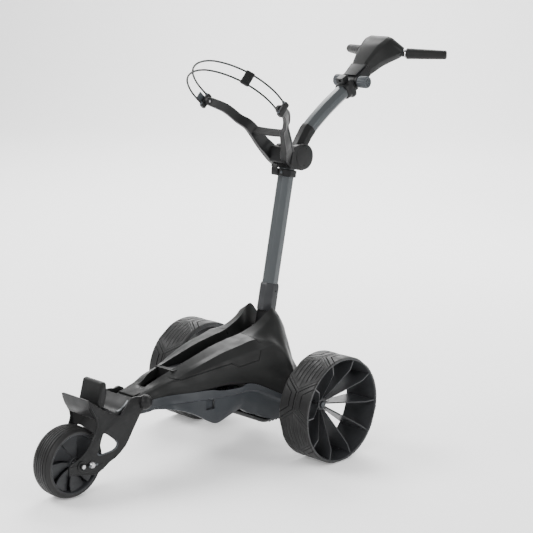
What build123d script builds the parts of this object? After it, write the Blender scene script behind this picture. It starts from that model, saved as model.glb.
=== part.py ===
from build123d import *
from math import atan2, cos, degrees, radians, sin, tan
import os

# Electric golf trolley, in millimetres. +X is the left side, -Y the front, +Z up.
# The origin is on the floor, midway between the front wheel's nose and the grips' ends.

# ---- driving dimensions ----
TRACK_HALF = 300            # half of the overall width, at the rear tyres
AXLE_Y = 100                # rear axle line
WHEEL_R = 142               # rear wheel radius, and so the axle's height
TYRE_W = 97                 # rear tyre width
TYRE_WALL = 5.5             # rear tyre thickness
HUB_OUT = 228               # outer end of the rear hub, from the middle of the trolley
HUB_R = 16
FIN_COUNT = 10
FIN_WALL = 4
AXLE_R = 6
RUN = 0.05                  # radial running clearance of every shaft

FRONT_Y = -574              # front axle line
FRONT_R = 89.5
FRONT_W = 65
BLADE_COUNT = 8
FRONT_AXLE_R = 5

FORK_PIVOT = (-369, 207)    # Y, Z of the front fork's pivot
FORK_IN = 47                # inner face of the fork's side plates
FORK_OUT = 52

COLUMN_PIVOT = (108, 300)   # Y, Z of the lower column's pivot
LEAN = 10.4                 # backward lean of the lower column, degrees
COLUMN_W = 43
COLUMN_WALL = 2
COLUMN_TOP = 448            # length along the column from its pivot
SLEEVE_W = 51
HINGE_T = 25                # mid hinge: offset behind the column's axis
HINGE_S = 483.5             # mid hinge: distance along the column
HINGE_R = 35
KNUCKLE_R = 30
KNUCKLE_HALF = 21.5
PIN_R = 5

CORD_D = 5                  # elastic cord diameter
STRAP_TILT = 40.6           # the strap plane's normal, degrees forward of vertical
STRAP_GAP = 29.7            # distance between the two cords
STRAP_END = (24, 931)       # Y, Z of the upper cord's ends

TILT_PIVOT = (451, 964)     # Y, Z of the handle's tilt bolt
HANDLE_RISE = 38.5          # direction of the console from the tilt bolt, degrees up
KNOB_OUT = 58.5
GRIP_R = 16
GRIP_START = (76, 590, 1041)
GRIP_END = (178, 650.5, 1041)

# ---- planes and helpers ----
lean_sin = sin(radians(LEAN))
lean_cos = cos(radians(LEAN))
COLUMN = Plane(origin=(0, *COLUMN_PIVOT), x_dir=(1, 0, 0), z_dir=(0, lean_sin, lean_cos))


def on_column(x, t, s):
    """A point in the column's own frame: t behind its axis, s along it."""
    y = COLUMN_PIVOT[0] + t * lean_cos + s * lean_sin
    z = COLUMN_PIVOT[1] - t * lean_sin + s * lean_cos
    return (x, y, z)


HINGE = on_column(0, HINGE_T, HINGE_S)[1:]
rise_sin = sin(radians(HANDLE_RISE))
rise_cos = cos(radians(HANDLE_RISE))
HANDLE = Plane(origin=(0, *TILT_PIVOT), x_dir=(1, 0, 0), z_dir=(0, rise_cos, rise_sin))


def side_plane(x, y=0, z=0):
    """A plane facing +X, drawn on with +Y to the right and +Z up."""
    return Plane(origin=(x, y, z), x_dir=(0, 1, 0), z_dir=(1, 0, 0))


def radial_plane(side, y, z, angle):
    """A plane holding the line along X through (y, z); local x points outwards on that side."""
    a = radians(angle)
    return Plane(origin=(0, y, z), x_dir=(side, 0, 0), z_dir=(0, -side * sin(a), side * cos(a)))


def x_axis(y, z):
    return Axis((0, y, z), (1, 0, 0))


def mirrored(half):
    """A closed outline, symmetric about x = 0, from its right half."""
    return half + [(-x, z) for x, z in reversed(half)]


def skin(sections):
    """A ruled loft through outlines across the trolley: (y, [(x, z), ...]) from front to rear."""
    with BuildPart() as body:
        for y, half in sections:
            with BuildSketch(Plane.XZ.offset(-y)):
                with BuildLine():
                    Polyline(*mirrored(half), close=True)
                make_face()
        loft(ruled=True)
    return body.part


def octagon(across, mode=Mode.ADD):
    """An eight-sided outline with flats square to the local axes."""
    RegularPolygon(across / 2, 8, major_radius=False, rotation=22.5, mode=mode)


def x_cylinder(radius, x_from, x_to, centre, mode=Mode.ADD):
    """A cylinder along X between two stations, about a (y, z) centre."""
    with BuildSketch(side_plane(x_from)) as disc:
        with Locations(centre):
            Circle(radius)
    extrude(disc.sketch, amount=x_to - x_from, mode=mode)


SIDES = (("left", 1), ("right", -1))

# ---- chassis ----
# Top cover: rail top, shoulder crease, widest line and lower edge at each station.
COVER_STATIONS = [
    (-398, (30, 226), (37, 222), (41, 213), (40, 204)),
    (-325, (31, 238), (39, 234), (44, 219), (43, 207)),
    (-290, (33, 244), (45, 239), (57, 222), (55, 208)),
    (-145, (50, 278), (66, 270), (90, 232), (88, 205)),
    (-18, (57, 308), (78, 298), (116, 245), (112, 196)),
    (15, (60, 333), (82, 312), (124, 232), (122, 180)),
    (60, (55, 363), (76, 338), (138, 208), (140, 152)),
    (100, (50, 370), (70, 346), (148, 196), (152, 132)),
    (137, (50, 333), (68, 312), (148, 184), (152, 128)),
    (165, (48, 243), (62, 234), (144, 168), (146, 128)),
    (180, (46, 195), (58, 190), (136, 158), (138, 130)),
]
COVER_WALL = 3
AXLE_PORT_R = 36            # ports in the flanks round the axle sleeves
TRENCH = 33                 # half width of the trench between the rails
BAY_FLOOR = 190             # underside of the battery bay

outer_sections = [(y, [rail, crease, wide, low]) for y, rail, crease, wide, low in COVER_STATIONS]
inner_sections = [
    (y, [(rail[0] - 2, rail[1] - COVER_WALL), (crease[0] - COVER_WALL, crease[1] - COVER_WALL),
         (wide[0] - COVER_WALL, wide[1]), (low[0] - COVER_WALL, low[1] - 30)])
    for y, rail, crease, wide, low in COVER_STATIONS
]
cover_inside = skin(inner_sections)

with BuildPart() as chassis_cover:
    add(skin(outer_sections))
    add(cover_inside, mode=Mode.SUBTRACT)
    # trench between the rails, where the folded column lies
    with Locations((0, -107, 320)):
        Box(2 * TRENCH, 470, 200, mode=Mode.SUBTRACT)
    # room for the column's base
    with Locations((0, 120, 330)):
        Box(2 * TRENCH, 100, 160, mode=Mode.SUBTRACT)
    # ports for the axle sleeves
    x_cylinder(AXLE_PORT_R, -200, 200, (AXLE_Y, WHEEL_R), Mode.SUBTRACT)
    x_cylinder(PIN_R, -60, 60, FORK_PIVOT, Mode.SUBTRACT)
    # rear wall
    with BuildSketch(Plane.XZ.offset(-176)):
        with BuildLine():
            Polyline((-136, 132), (136, 132), (134, 156), (57, 188), (-57, 188), (-134, 156), close=True)
        make_face()
    extrude(amount=-3)
chassis_cover.part.label = "chassis_cover"
export_step(chassis_cover.part, "parts/chassis_cover.step")

# Lower tray: two flanks that deepen into belly skirts, joined by a floor at the rear.
TRAY_STATIONS = [
    (-385, (39, 202), (38, 176)),
    (-325, (42, 205), (41, 178)),
    (-290, (54, 206), (74, 176)),
    (-225, (70, 205), (78, 150)),
    (-150, (87, 203), (79, 112)),
    (-60, (104, 197), (80, 134)),
    (0, (117, 184), (82, 104)),
    (45, (133, 160), (96, 84)),
    (95, (150, 128), (110, 84)),
    (150, (144, 126), (104, 86)),
]
TRAY_WALL = 4
tray_outer = [(y, [top, low]) for y, top, low in TRAY_STATIONS]
tray_inner = [
    (y, [(top[0] - TRAY_WALL, top[1] + 6), (low[0] - TRAY_WALL, low[1] - 0.5)])
    for y, top, low in TRAY_STATIONS
]
SCREWS = [(-250, 190), (-190, 180), (-130, 172), (-20, 165), (50, 130)]


def flank_x(y, z):
    """Half width of the tray's outer skin at a point on its side."""
    for (y0, top0, low0), (y1, top1, low1) in zip(TRAY_STATIONS, TRAY_STATIONS[1:]):
        if y0 <= y <= y1:
            f = (y - y0) / (y1 - y0)
            top = [a + (b - a) * f for a, b in zip(top0, top1)]
            low = [a + (b - a) * f for a, b in zip(low0, low1)]
            return low[0] + (top[0] - low[0]) * (z - low[1]) / (top[1] - low[1])


with BuildPart() as chassis_tray:
    add(skin(tray_outer))
    add(skin(tray_inner), mode=Mode.SUBTRACT)
    # rear floor under the axle
    with Locations((0, 108, 86.5)):
        Box(206, 84, 5)
    # the hand-hold between tray and cover
    with Locations((0, -112, 202)):
        Box(240, 84, 12, mode=Mode.SUBTRACT)
    x_cylinder(AXLE_PORT_R, -200, 200, (AXLE_Y, WHEEL_R), Mode.SUBTRACT)
    x_cylinder(PIN_R, -60, 60, FORK_PIVOT, Mode.SUBTRACT)
    for y, z in SCREWS:
        x_cylinder(2.5, -180, 180, (y, z), Mode.SUBTRACT)
chassis_tray.part.label = "chassis_tray"
export_step(chassis_tray.part, "parts/chassis_tray.step")

with BuildPart() as battery_bay:
    with Locations((0, -95, (BAY_FLOOR + 262) / 2)):
        Box(2 * TRENCH - 1, 330, 262 - BAY_FLOOR)
    with Locations((0, -95, BAY_FLOOR + 4 + 50)):
        Box(2 * TRENCH - 7, 300, 100, mode=Mode.SUBTRACT)
battery_bay.part.label = "battery_bay"
export_step(battery_bay.part, "parts/battery_bay.step")

# Bracket in the trench that carries the column's pin: a base plate and two ears.
BRACKET_EAR = (22, 30)
with BuildPart() as column_bracket:
    with Locations((0, 108, 232)):
        Box(64, 64, 8)
    for side in (1, -1):
        with BuildSketch(side_plane(side * BRACKET_EAR[0])):
            with BuildLine():
                Polyline((78, 230), (138, 230), (128, 312), (90, 312), close=True)
            make_face()
        extrude(amount=side * (BRACKET_EAR[1] - BRACKET_EAR[0]))
    with BuildSketch(side_plane(-40)):
        with Locations(COLUMN_PIVOT):
            Circle(PIN_R)
    extrude(amount=80, mode=Mode.SUBTRACT)
    # legs down to the tray's rear floor
    for side in (1, -1):
        with Locations((side * 26, 108, 158.5)):
            Box(8, 40, 139)
column_bracket.part.label = "column_bracket"
export_step(column_bracket.part, "parts/column_bracket.step")

with BuildPart() as column_pin:
    with BuildSketch(side_plane(-31)):
        with Locations(COLUMN_PIVOT):
            Circle(PIN_R)
    extrude(amount=62)
column_pin.part.label = "column_pin"
export_step(column_pin.part, "parts/column_pin.step")

# Bulge under the tray that houses the drive motors.
with BuildPart() as motor_cover:
    for z, x_half, y_low, y_high in ((84, 100, 26, 150), (70, 80, 34, 144), (63, 60, 60, 132)):
        with BuildSketch(Plane.XY.offset(z)):
            with Locations((0, (y_low + y_high) / 2)):
                RectangleRounded(2 * x_half, y_high - y_low, 12)
    loft(ruled=True)
    with Locations((0, 88, 80)):
        Box(100, 60, 12, mode=Mode.SUBTRACT)
motor_cover.part.label = "motor_cover"
export_step(motor_cover.part, "parts/motor_cover.step")

with BuildPart() as controller_box:
    with Locations((0, 20, BAY_FLOOR + 15.5)):
        Box(54, 48, 22)
    fillet(controller_box.edges().filter_by(Axis.Z), 4)
controller_box.part.label = "controller_box"
export_step(controller_box.part, "parts/controller_box.step")

MOTOR_R = 28
MOTOR_Y = AXLE_Y
MOTOR_Z = 122
with BuildPart() as drive_motors:
    for side in (1, -1):
        with BuildSketch(side_plane(side * 36)):
            with Locations((MOTOR_Y, MOTOR_Z)):
                Circle(MOTOR_R)
        extrude(amount=side * 60)
    chamfer(drive_motors.edges().filter_by(GeomType.CIRCLE), 2)
drive_motors.part.label = "drive_motors"
export_step(drive_motors.part, "parts/drive_motors.step")

# Gearboxes: a case on each motor's end with the output sleeve that the rear axle turns in.
SLEEVE_OUT = 192
with BuildPart() as gearboxes:
    for side in (1, -1):
        with BuildSketch(side_plane(side * 96)):
            with Locations((AXLE_Y, 131)):
                SlotCenterToCenter(22, 50, rotation=90)
        extrude(amount=side * 16)
        with BuildSketch(side_plane(side * 112)):
            with Locations((AXLE_Y, WHEEL_R)):
                Circle(32)
        with BuildSketch(side_plane(side * SLEEVE_OUT)):
            with Locations((AXLE_Y, WHEEL_R)):
                Circle(22)
        loft()
        x_cylinder(AXLE_R + RUN, side * 130, side * 200, (AXLE_Y, WHEEL_R), Mode.SUBTRACT)
gearboxes.part.label = "gearboxes"
export_step(gearboxes.part, "parts/gearboxes.step")

# Pin across the nose with a domed cap at each end; the fork turns on it.
CAP_R = 19
CAP_H = 13
cap_sphere = (CAP_R**2 + CAP_H**2) / (2 * CAP_H)
cap_centre = FORK_OUT + 3 + CAP_H - cap_sphere
cap_mid = (cap_centre + cap_sphere * cos(radians(40)), cap_sphere * sin(radians(40)))
with BuildPart() as fork_pivot_pin:
    with BuildSketch(side_plane(-56)):
        with Locations(FORK_PIVOT):
            Circle(PIN_R)
    extrude(amount=112)
    for side in (1, -1):
        with BuildSketch(radial_plane(side, *FORK_PIVOT, 90)):
            with BuildLine():
                Line((FORK_OUT + 0.5, 0), (FORK_OUT + 0.5, CAP_R - 2))
                Line((FORK_OUT + 0.5, CAP_R - 2), (FORK_OUT + 3, CAP_R))
                ThreePointArc((FORK_OUT + 3, CAP_R), cap_mid, (FORK_OUT + 3 + CAP_H, 0))
                Line((FORK_OUT + 3 + CAP_H, 0), (FORK_OUT + 0.5, 0))
            make_face()
        revolve(axis=x_axis(*FORK_PIVOT))
fork_pivot_pin.part.label = "fork_pivot_pin"
export_step(fork_pivot_pin.part, "parts/fork_pivot_pin.step")

# Nose block: fills the front of the cover around the pivot pin.
with BuildPart() as nose_block:
    with BuildSketch(side_plane(-28)):
        with BuildLine():
            Polyline((-388, 190), (-345, 186), (-330, 228), (-388, 222), close=True)
        make_face()
    extrude(amount=56)
    with BuildSketch(side_plane(-30)):
        with Locations(FORK_PIVOT):
            Circle(PIN_R)
    extrude(amount=60, mode=Mode.SUBTRACT)
nose_block.part.label = "nose_block"
export_step(nose_block.part, "parts/nose_block.step")

# Screws along the tray's flanks.
with BuildPart() as tray_screws:
    for y, z in SCREWS:
        for side in (1, -1):
            head = side * (flank_x(y, z) + 1)
            x_cylinder(2.5, head - side * 8, head, (y, z))
tray_screws.part.label = "tray_screws"
export_step(tray_screws.part, "parts/tray_screws.step")

# ---- battery, standing in the bay ----
BATTERY = (54, 190, 62)     # width, length, height
BATTERY_Y = -140
BATTERY_BASE = BAY_FLOOR + 4.5
with BuildPart() as battery_case:
    with Locations((0, BATTERY_Y, BATTERY_BASE + BATTERY[2] / 2)):
        Box(*BATTERY)
    fillet(battery_case.edges().filter_by(Axis.Z), 6)
    # recess under the handle
    with Locations((0, BATTERY_Y, BATTERY_BASE + BATTERY[2] - 4)):
        Box(34, 110, 8.01, mode=Mode.SUBTRACT)
battery_case.part.label = "battery_case"
export_step(battery_case.part, "parts/battery_case.step")

BATTERY_TOP = BATTERY_BASE + BATTERY[2]
HANDLE_AXIS = (BATTERY_Y - 48, BATTERY_TOP - 3.5)
HANDLE_BARREL = 3
HANDLE_LENGTH = 89
with BuildPart() as battery_handle:
    with Locations((0, HANDLE_AXIS[0] + HANDLE_LENGTH / 2, HANDLE_AXIS[1])):
        Box(30, HANDLE_LENGTH, 2 * HANDLE_BARREL)
    x_cylinder(HANDLE_BARREL, -15, 15, HANDLE_AXIS)
    with Locations((0, BATTERY_Y, BATTERY_TOP - 3.5)):
        Box(18, 66, 8, mode=Mode.SUBTRACT)
battery_handle.part.label = "battery_handle"
export_step(battery_handle.part, "parts/battery_handle.step")

# ---- rear wheels ----
HUB_BACK = 205
TYRE_IN = TRACK_HALF - TYRE_W
BARREL_OUT = WHEEL_R - TYRE_WALL
BUTTON_R = 7.5
BUTTON_TRAVEL = 3
for side_name, side in SIDES:
    profile_plane = radial_plane(side, AXLE_Y, WHEEL_R, 90)
    axle_line = x_axis(AXLE_Y, WHEEL_R)

    with BuildPart() as tyre:
        with BuildSketch(profile_plane):
            with BuildLine():
                Polyline(
                    (TYRE_IN, BARREL_OUT), (TYRE_IN, WHEEL_R - 4), (TYRE_IN + 7, WHEEL_R - 0.5),
                    (TYRE_IN + TYRE_W / 2, WHEEL_R), (TRACK_HALF - 7, WHEEL_R - 0.5),
                    (TRACK_HALF, WHEEL_R - 4), (TRACK_HALF, BARREL_OUT), close=True)
            make_face()
        revolve(axis=axle_line)
        # shallow grooves round the tread
        for groove_x in (TYRE_IN + 24, TYRE_IN + 48, TYRE_IN + 72):
            with BuildSketch(profile_plane):
                with Locations((groove_x, WHEEL_R)):
                    Rectangle(2.5, 3)
            revolve(axis=axle_line, mode=Mode.SUBTRACT)
    tyre.part.label = f"tyre_{side_name}"
    export_step(tyre.part, f"parts/tyre_{side_name}.step")

    with BuildPart() as rim:
        with BuildSketch(profile_plane):
            with BuildLine():
                Polyline(
                    (TYRE_IN, BARREL_OUT), (TYRE_IN, 127), (TYRE_IN + 12, 127),
                    (TRACK_HALF - 1, 134.5), (TRACK_HALF - 1, BARREL_OUT), close=True)
            make_face()
        revolve(axis=axle_line)
        fins = [radial_plane(side, AXLE_Y, WHEEL_R, k * 360 / FIN_COUNT) for k in range(FIN_COUNT)]
        with BuildSketch(*fins):
            with BuildLine():
                Polyline(
                    (HUB_BACK + 4, HUB_R - 3), (HUB_OUT, HUB_R - 3), (292, 105), (296, 135),
                    (TYRE_IN + 10, 128), (TYRE_IN + 6, 60), close=True)
            make_face()
        extrude(amount=FIN_WALL / 2, both=True)
        with BuildSketch(profile_plane):
            with BuildLine():
                Polyline(
                    (HUB_BACK, AXLE_R), (HUB_BACK, HUB_R), (HUB_OUT, HUB_R),
                    (HUB_OUT, BUTTON_R + 0.5), (HUB_OUT - 12, BUTTON_R + 0.5),
                    (HUB_OUT - 12, AXLE_R), close=True)
            make_face()
        revolve(axis=axle_line)
        # clear the fins out of the hub's bores
        with BuildSketch(side_plane(side * (HUB_BACK - 1), AXLE_Y, WHEEL_R)):
            Circle(AXLE_R)
        extrude(amount=side * 24, mode=Mode.SUBTRACT)
        with BuildSketch(side_plane(side * (HUB_OUT - 12), AXLE_Y, WHEEL_R)):
            Circle(BUTTON_R + 0.5)
        extrude(amount=side * 14, mode=Mode.SUBTRACT)
    rim.part.label = f"rim_{side_name}"
    export_step(rim.part, f"parts/rim_{side_name}.step")

    with BuildPart() as axle:
        with BuildSketch(side_plane(side * 140, AXLE_Y, WHEEL_R)):
            Circle(AXLE_R)
        extrude(amount=side * (HUB_OUT - 13 - 140))
    axle.part.label = f"axle_{side_name}"
    export_step(axle.part, f"parts/axle_{side_name}.step")

    with BuildPart() as release_button:
        with BuildSketch(side_plane(side * (HUB_OUT - 8), AXLE_Y, WHEEL_R)):
            Circle(BUTTON_R)
        extrude(amount=side * 12)
        fillet(release_button.edges().filter_by(GeomType.CIRCLE), 1.5)
    release_button.part.label = f"release_button_{side_name}"
    export_step(release_button.part, f"parts/release_button_{side_name}.step")

# ---- front fork ----
FORK_OUTLINE = [
    (-551, 247), (-546, 224), (-528, 195), (-530, 165), (-552, 130), (-589, 103), (-613, 96),
    (-601, 72), (-572, 66), (-524, 57), (-483, 80), (-467, 84), (-434, 107), (-412, 139),
    (-390, 172), (-384, 207), (-415, 227), (-451, 190), (-486, 203), (-527, 230),
]
FORK_WINDOW = [
    (-499, 157), (-467, 130), (-460, 116), (-473, 106), (-524, 105), (-514, 129), (-510, 145),
]
with BuildPart() as fork:
    for side in (1, -1):
        with BuildSketch(side_plane(side * FORK_IN)):
            with BuildLine():
                Polyline(*FORK_OUTLINE, close=True)
            make_face()
            with BuildLine():
                Polyline(*FORK_WINDOW, close=True)
            make_face(mode=Mode.SUBTRACT)
            with Locations(FORK_PIVOT):
                Circle(20)
        extrude(amount=side * (FORK_OUT - FORK_IN))
        # boss round the axle
        with BuildSketch(side_plane(side * (FORK_OUT - 1))):
            with Locations((FRONT_Y, FRONT_R)):
                Circle(13)
        extrude(amount=side * 5)
    # curved flange between the plates
    with BuildSketch(side_plane(-FORK_IN)):
        with BuildLine():
            Polyline(
                (-551, 247), (-546, 224), (-528, 195), (-523, 196), (-541, 226), (-546, 247),
                close=True)
        make_face()
    extrude(amount=2 * FORK_IN)
    # rear tie under the saddle
    with BuildSketch(side_plane(-FORK_IN)):
        with BuildLine():
            Polyline((-500, 192), (-452, 180), (-412, 200), (-412, 206), (-452, 187), (-500, 199),
                     close=True)
        make_face()
    extrude(amount=2 * FORK_IN)
    with BuildSketch(side_plane(-60)):
        with Locations(FORK_PIVOT):
            Circle(PIN_R + RUN)
        with Locations((FRONT_Y, FRONT_R)):
            Circle(FRONT_AXLE_R)
    extrude(amount=120, mode=Mode.SUBTRACT)
fork.part.label = "fork"
export_step(fork.part, "parts/fork.step")

with BuildPart() as stop_block:
    with BuildSketch(side_plane(-36)):
        with BuildLine():
            Polyline((-497, 277), (-485, 279), (-478, 262), (-488, 216), (-500, 208), (-510, 226),
                     close=True)
        make_face()
    extrude(amount=72)
    fillet(stop_block.edges().filter_by(Axis.X), 2)
stop_block.part.label = "stop_block"
export_step(stop_block.part, "parts/stop_block.step")

# Padded saddle that the foot of the bag stands in.
with BuildPart() as bag_saddle:
    with BuildSketch(side_plane(-(FORK_IN - 0.5))):
        with BuildLine():
            Line((-500, 199.5), (-452, 187.5))
            Line((-452, 187.5), (-412, 206.5))
            Line((-412, 206.5), (-412, 226))
            ThreePointArc((-412, 226), (-450, 199), (-488, 215))
            Line((-488, 215), (-500, 207))
            Line((-500, 207), (-500, 199.5))
        make_face()
    extrude(amount=2 * FORK_IN - 1)
bag_saddle.part.label = "bag_saddle"
export_step(bag_saddle.part, "parts/bag_saddle.step")

with BuildPart() as front_axle:
    with BuildSketch(side_plane(-62, FRONT_Y, FRONT_R)):
        Circle(FRONT_AXLE_R)
    extrude(amount=124)
    with BuildSketch(side_plane(-62, FRONT_Y, FRONT_R)):
        RegularPolygon(9, 6)
    extrude(amount=6)
front_axle.part.label = "front_axle"
export_step(front_axle.part, "parts/front_axle.step")

# Winged nut that trims the front wheel's tracking, behind the near axle boss.
TRACKING = (-543, 86)
with BuildPart() as tracking_nut:
    with BuildSketch(side_plane(FORK_OUT + 0.4, *TRACKING)):
        Circle(9)
    extrude(amount=9)
    with Locations((FORK_OUT + 7, *TRACKING)):
        Box(4, 30, 5)
tracking_nut.part.label = "tracking_nut"
export_step(tracking_nut.part, "parts/tracking_nut.step")

# ---- front wheel ----
front_line = x_axis(FRONT_Y, FRONT_R)
front_profile = radial_plane(1, FRONT_Y, FRONT_R, 90)
FRONT_HALF = FRONT_W / 2
RIM_OUT = 76
with BuildPart() as front_tyre:
    with BuildSketch(front_profile):
        with BuildLine():
            Polyline(
                (-FRONT_HALF, RIM_OUT), (-FRONT_HALF, FRONT_R - 6), (-FRONT_HALF + 6, FRONT_R - 1),
                (0, FRONT_R), (FRONT_HALF - 6, FRONT_R - 1), (FRONT_HALF, FRONT_R - 6),
                (FRONT_HALF, RIM_OUT), close=True)
        make_face()
    revolve(axis=front_line)
    for groove in range(-3, 4):
        with BuildSketch(front_profile):
            with Locations((groove * 7.2, FRONT_R)):
                Rectangle(2, 3)
        revolve(axis=front_line, mode=Mode.SUBTRACT)
front_tyre.part.label = "front_tyre"
export_step(front_tyre.part, "parts/front_tyre.step")

BEARING_R = 11
with BuildPart() as front_rim:
    with BuildSketch(front_profile):
        with BuildLine():
            Polyline((-31, RIM_OUT), (-31, 71), (31, 71), (31, RIM_OUT), close=True)
        make_face()
    revolve(axis=front_line)
    blades = [radial_plane(1, FRONT_Y, FRONT_R, k * 360 / BLADE_COUNT) for k in range(BLADE_COUNT)]
    with BuildSketch(*blades):
        with BuildLine():
            Polyline((-20, 13), (20, 13), (27, 60), (27, 73), (-27, 73), (-27, 60), close=True)
        make_face()
    extrude(amount=2, both=True)
    with BuildSketch(front_profile):
        with BuildLine():
            Polyline((-30, BEARING_R), (-30, 17), (30, 17), (30, BEARING_R), close=True)
        make_face()
    revolve(axis=front_line)
    with BuildSketch(side_plane(-31, FRONT_Y, FRONT_R)):
        Circle(BEARING_R)
    extrude(amount=62, mode=Mode.SUBTRACT)
front_rim.part.label = "front_rim"
export_step(front_rim.part, "parts/front_rim.step")

with BuildPart() as front_bearings:
    for side in (1, -1):
        with BuildSketch(side_plane(side * 22, FRONT_Y, FRONT_R)):
            Circle(BEARING_R)
            Circle(FRONT_AXLE_R + RUN, mode=Mode.SUBTRACT)
        extrude(amount=side * 8)
front_bearings.part.label = "front_bearings"
export_step(front_bearings.part, "parts/front_bearings.step")

# ---- lower column ----
with BuildPart() as column_knuckle:
    with BuildSketch(side_plane(-BRACKET_EAR[0] + 0.5)):
        with Locations(COLUMN_PIVOT):
            Circle(18)
    extrude(amount=2 * BRACKET_EAR[0] - 1)
    with BuildSketch(COLUMN.offset(8)):
        Rectangle(2 * BRACKET_EAR[0] - 1, 34)
    extrude(amount=48)
    with BuildSketch(side_plane(-30)):
        with Locations(COLUMN_PIVOT):
            Circle(PIN_R + RUN)
    extrude(amount=60, mode=Mode.SUBTRACT)
column_knuckle.part.label = "column_knuckle"
export_step(column_knuckle.part, "parts/column_knuckle.step")

with BuildPart() as column_tube:
    with BuildSketch(COLUMN.offset(58)):
        octagon(COLUMN_W)
        octagon(COLUMN_W - 2 * COLUMN_WALL, Mode.SUBTRACT)
    extrude(amount=COLUMN_TOP - 58)
column_tube.part.label = "column_tube"
export_step(column_tube.part, "parts/column_tube.step")

with BuildPart() as column_sleeve:
    with BuildSketch(COLUMN.offset(56)):
        octagon(SLEEVE_W)
        octagon(COLUMN_W, Mode.SUBTRACT)
    extrude(amount=76)
column_sleeve.part.label = "column_sleeve"
export_step(column_sleeve.part, "parts/column_sleeve.step")

with BuildPart() as column_clamp:
    with BuildSketch(COLUMN.offset(424)):
        octagon(54)
        with Locations((0, -33)):
            Rectangle(26, 16)
        octagon(COLUMN_W, Mode.SUBTRACT)
    extrude(amount=20)
column_clamp.part.label = "column_clamp"
export_step(column_clamp.part, "parts/column_clamp.step")

# Housing on top of the column: two ears with round caps, a web in front and a floor.
EAR_IN = 22
EAR_OUT = 36
ear_outline = [
    on_column(0, t, s)[1:] for t, s in ((-26, 446), (22, 446), (48, 458), (34, 508), (0, 514), (-26, 498))
]
with BuildPart() as hinge_housing:
    for side in (1, -1):
        with BuildSketch(side_plane(side * EAR_IN)):
            with BuildLine():
                Polyline(*ear_outline, close=True)
            make_face()
            with Locations(HINGE):
                Circle(HINGE_R)
        extrude(amount=side * (EAR_OUT - EAR_IN))
        x_cylinder(HINGE_R - 4, side * EAR_OUT, side * (EAR_OUT + 2), HINGE)
    with BuildSketch(COLUMN.offset(446)):
        with Locations((0, -17)):
            Rectangle(2 * EAR_IN, 18)
    extrude(amount=56)
    with BuildSketch(COLUMN.offset(448)):
        Rectangle(2 * EAR_IN, 44)
    extrude(amount=3)
    with BuildSketch(COLUMN.offset(445)):
        octagon(COLUMN_W)
    extrude(amount=3, mode=Mode.SUBTRACT)
    x_cylinder(PIN_R, -EAR_OUT, EAR_OUT, HINGE, Mode.SUBTRACT)
hinge_housing.part.label = "hinge_housing"
export_step(hinge_housing.part, "parts/hinge_housing.step")

with BuildPart() as hinge_pin:
    x_cylinder(PIN_R, -EAR_OUT, EAR_OUT, HINGE)
hinge_pin.part.label = "hinge_pin"
export_step(hinge_pin.part, "parts/hinge_pin.step")

# Lever in front of the clamp that locks the mid hinge, with a round barrel at its pivot.
LATCH_HALF = 9
LATCH_BARREL = 3
LATCH_PIVOT = on_column(0, -46, 427)[1:]
LATCH_OUTLINE = [(-43, 427), (-46, 424), (-49, 424), (-53, 440), (-50, 455), (-46, 455), (-45, 440)]
with BuildPart() as mid_latch:
    with BuildSketch(side_plane(-LATCH_HALF)):
        with BuildLine():
            Polyline(*[on_column(0, t, s)[1:] for t, s in LATCH_OUTLINE], close=True)
        make_face()
    extrude(amount=2 * LATCH_HALF)
    x_cylinder(LATCH_BARREL, -LATCH_HALF, LATCH_HALF, LATCH_PIVOT)
mid_latch.part.label = "mid_latch"
export_step(mid_latch.part, "parts/mid_latch.step")

# ---- bag cradle, square to the bag's axis ----
tilt_sin = sin(radians(STRAP_TILT))
tilt_cos = cos(radians(STRAP_TILT))
BAG_AXIS = Vector(0, tilt_sin, tilt_cos)
STRAP_PIVOT = (STRAP_END[0] - STRAP_GAP / 2 * tilt_sin, STRAP_END[1] - STRAP_GAP / 2 * tilt_cos)
STRAP = Plane(origin=(0, *STRAP_PIVOT), x_dir=(1, 0, 0), z_dir=BAG_AXIS)
STRAP_PIN_R = 4
CRADLE_TIP = 133
ARM_POINTS = [
    on_column(27, -34, 484), on_column(46, -66, 508), on_column(64, -103, 545),
    (110, 60, 900), (CRADLE_TIP - 4, 18, 919),
]
ARM_SIZES = [(40, 20), (36, 16), (30, 12), (26, 10), (24, 9)]
with BuildPart() as bag_cradle:
    with BuildSketch(COLUMN.offset(458)):
        with Locations((0, -38)):
            Rectangle(56, 24)
    extrude(amount=44)
    for side in (1, -1):
        places = [Vector(side * x, y, z) for x, y, z in ARM_POINTS]
        for k, (here, size) in enumerate(zip(places, ARM_SIZES)):
            before = places[max(k - 1, 0)]
            after = places[min(k + 1, len(places) - 1)]
            with BuildSketch(Plane(origin=here, x_dir=BAG_AXIS, z_dir=after - before)):
                RectangleRounded(*size, 3)
        loft(ruled=True)
        # boss for the strap's pivot
        x_cylinder(11, side * (CRADLE_TIP - 10), side * CRADLE_TIP, STRAP_PIVOT)
        x_cylinder(STRAP_PIN_R + RUN, side * (CRADLE_TIP - 12), side * (CRADLE_TIP + 2), STRAP_PIVOT,
                   Mode.SUBTRACT)
    # band between the arms that the bag rests on
    with BuildSketch(Plane(origin=on_column(0, -92, 536), x_dir=(1, 0, 0), z_dir=BAG_AXIS)):
        Rectangle(112, 7)
    extrude(amount=12, both=True)
    add(hinge_housing.part, mode=Mode.SUBTRACT)
bag_cradle.part.label = "bag_cradle"
export_step(bag_cradle.part, "parts/bag_cradle.step")

# ---- elastic strap: two cords round the bag, held by an end clip on each arm ----
# Half of the hoop in the strap's plane: distance from the middle, distance forward.
CORD_HALF = [(140, 9), (142.5, 38), (136, 73), (118, 108), (88, 137), (48, 157)]
CORD_ROUTE = [(x, -f) for x, f in CORD_HALF] + [(0, -166)] + [(-x, -f) for x, f in reversed(CORD_HALF)]
CORD_FILL = 0.45


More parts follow.
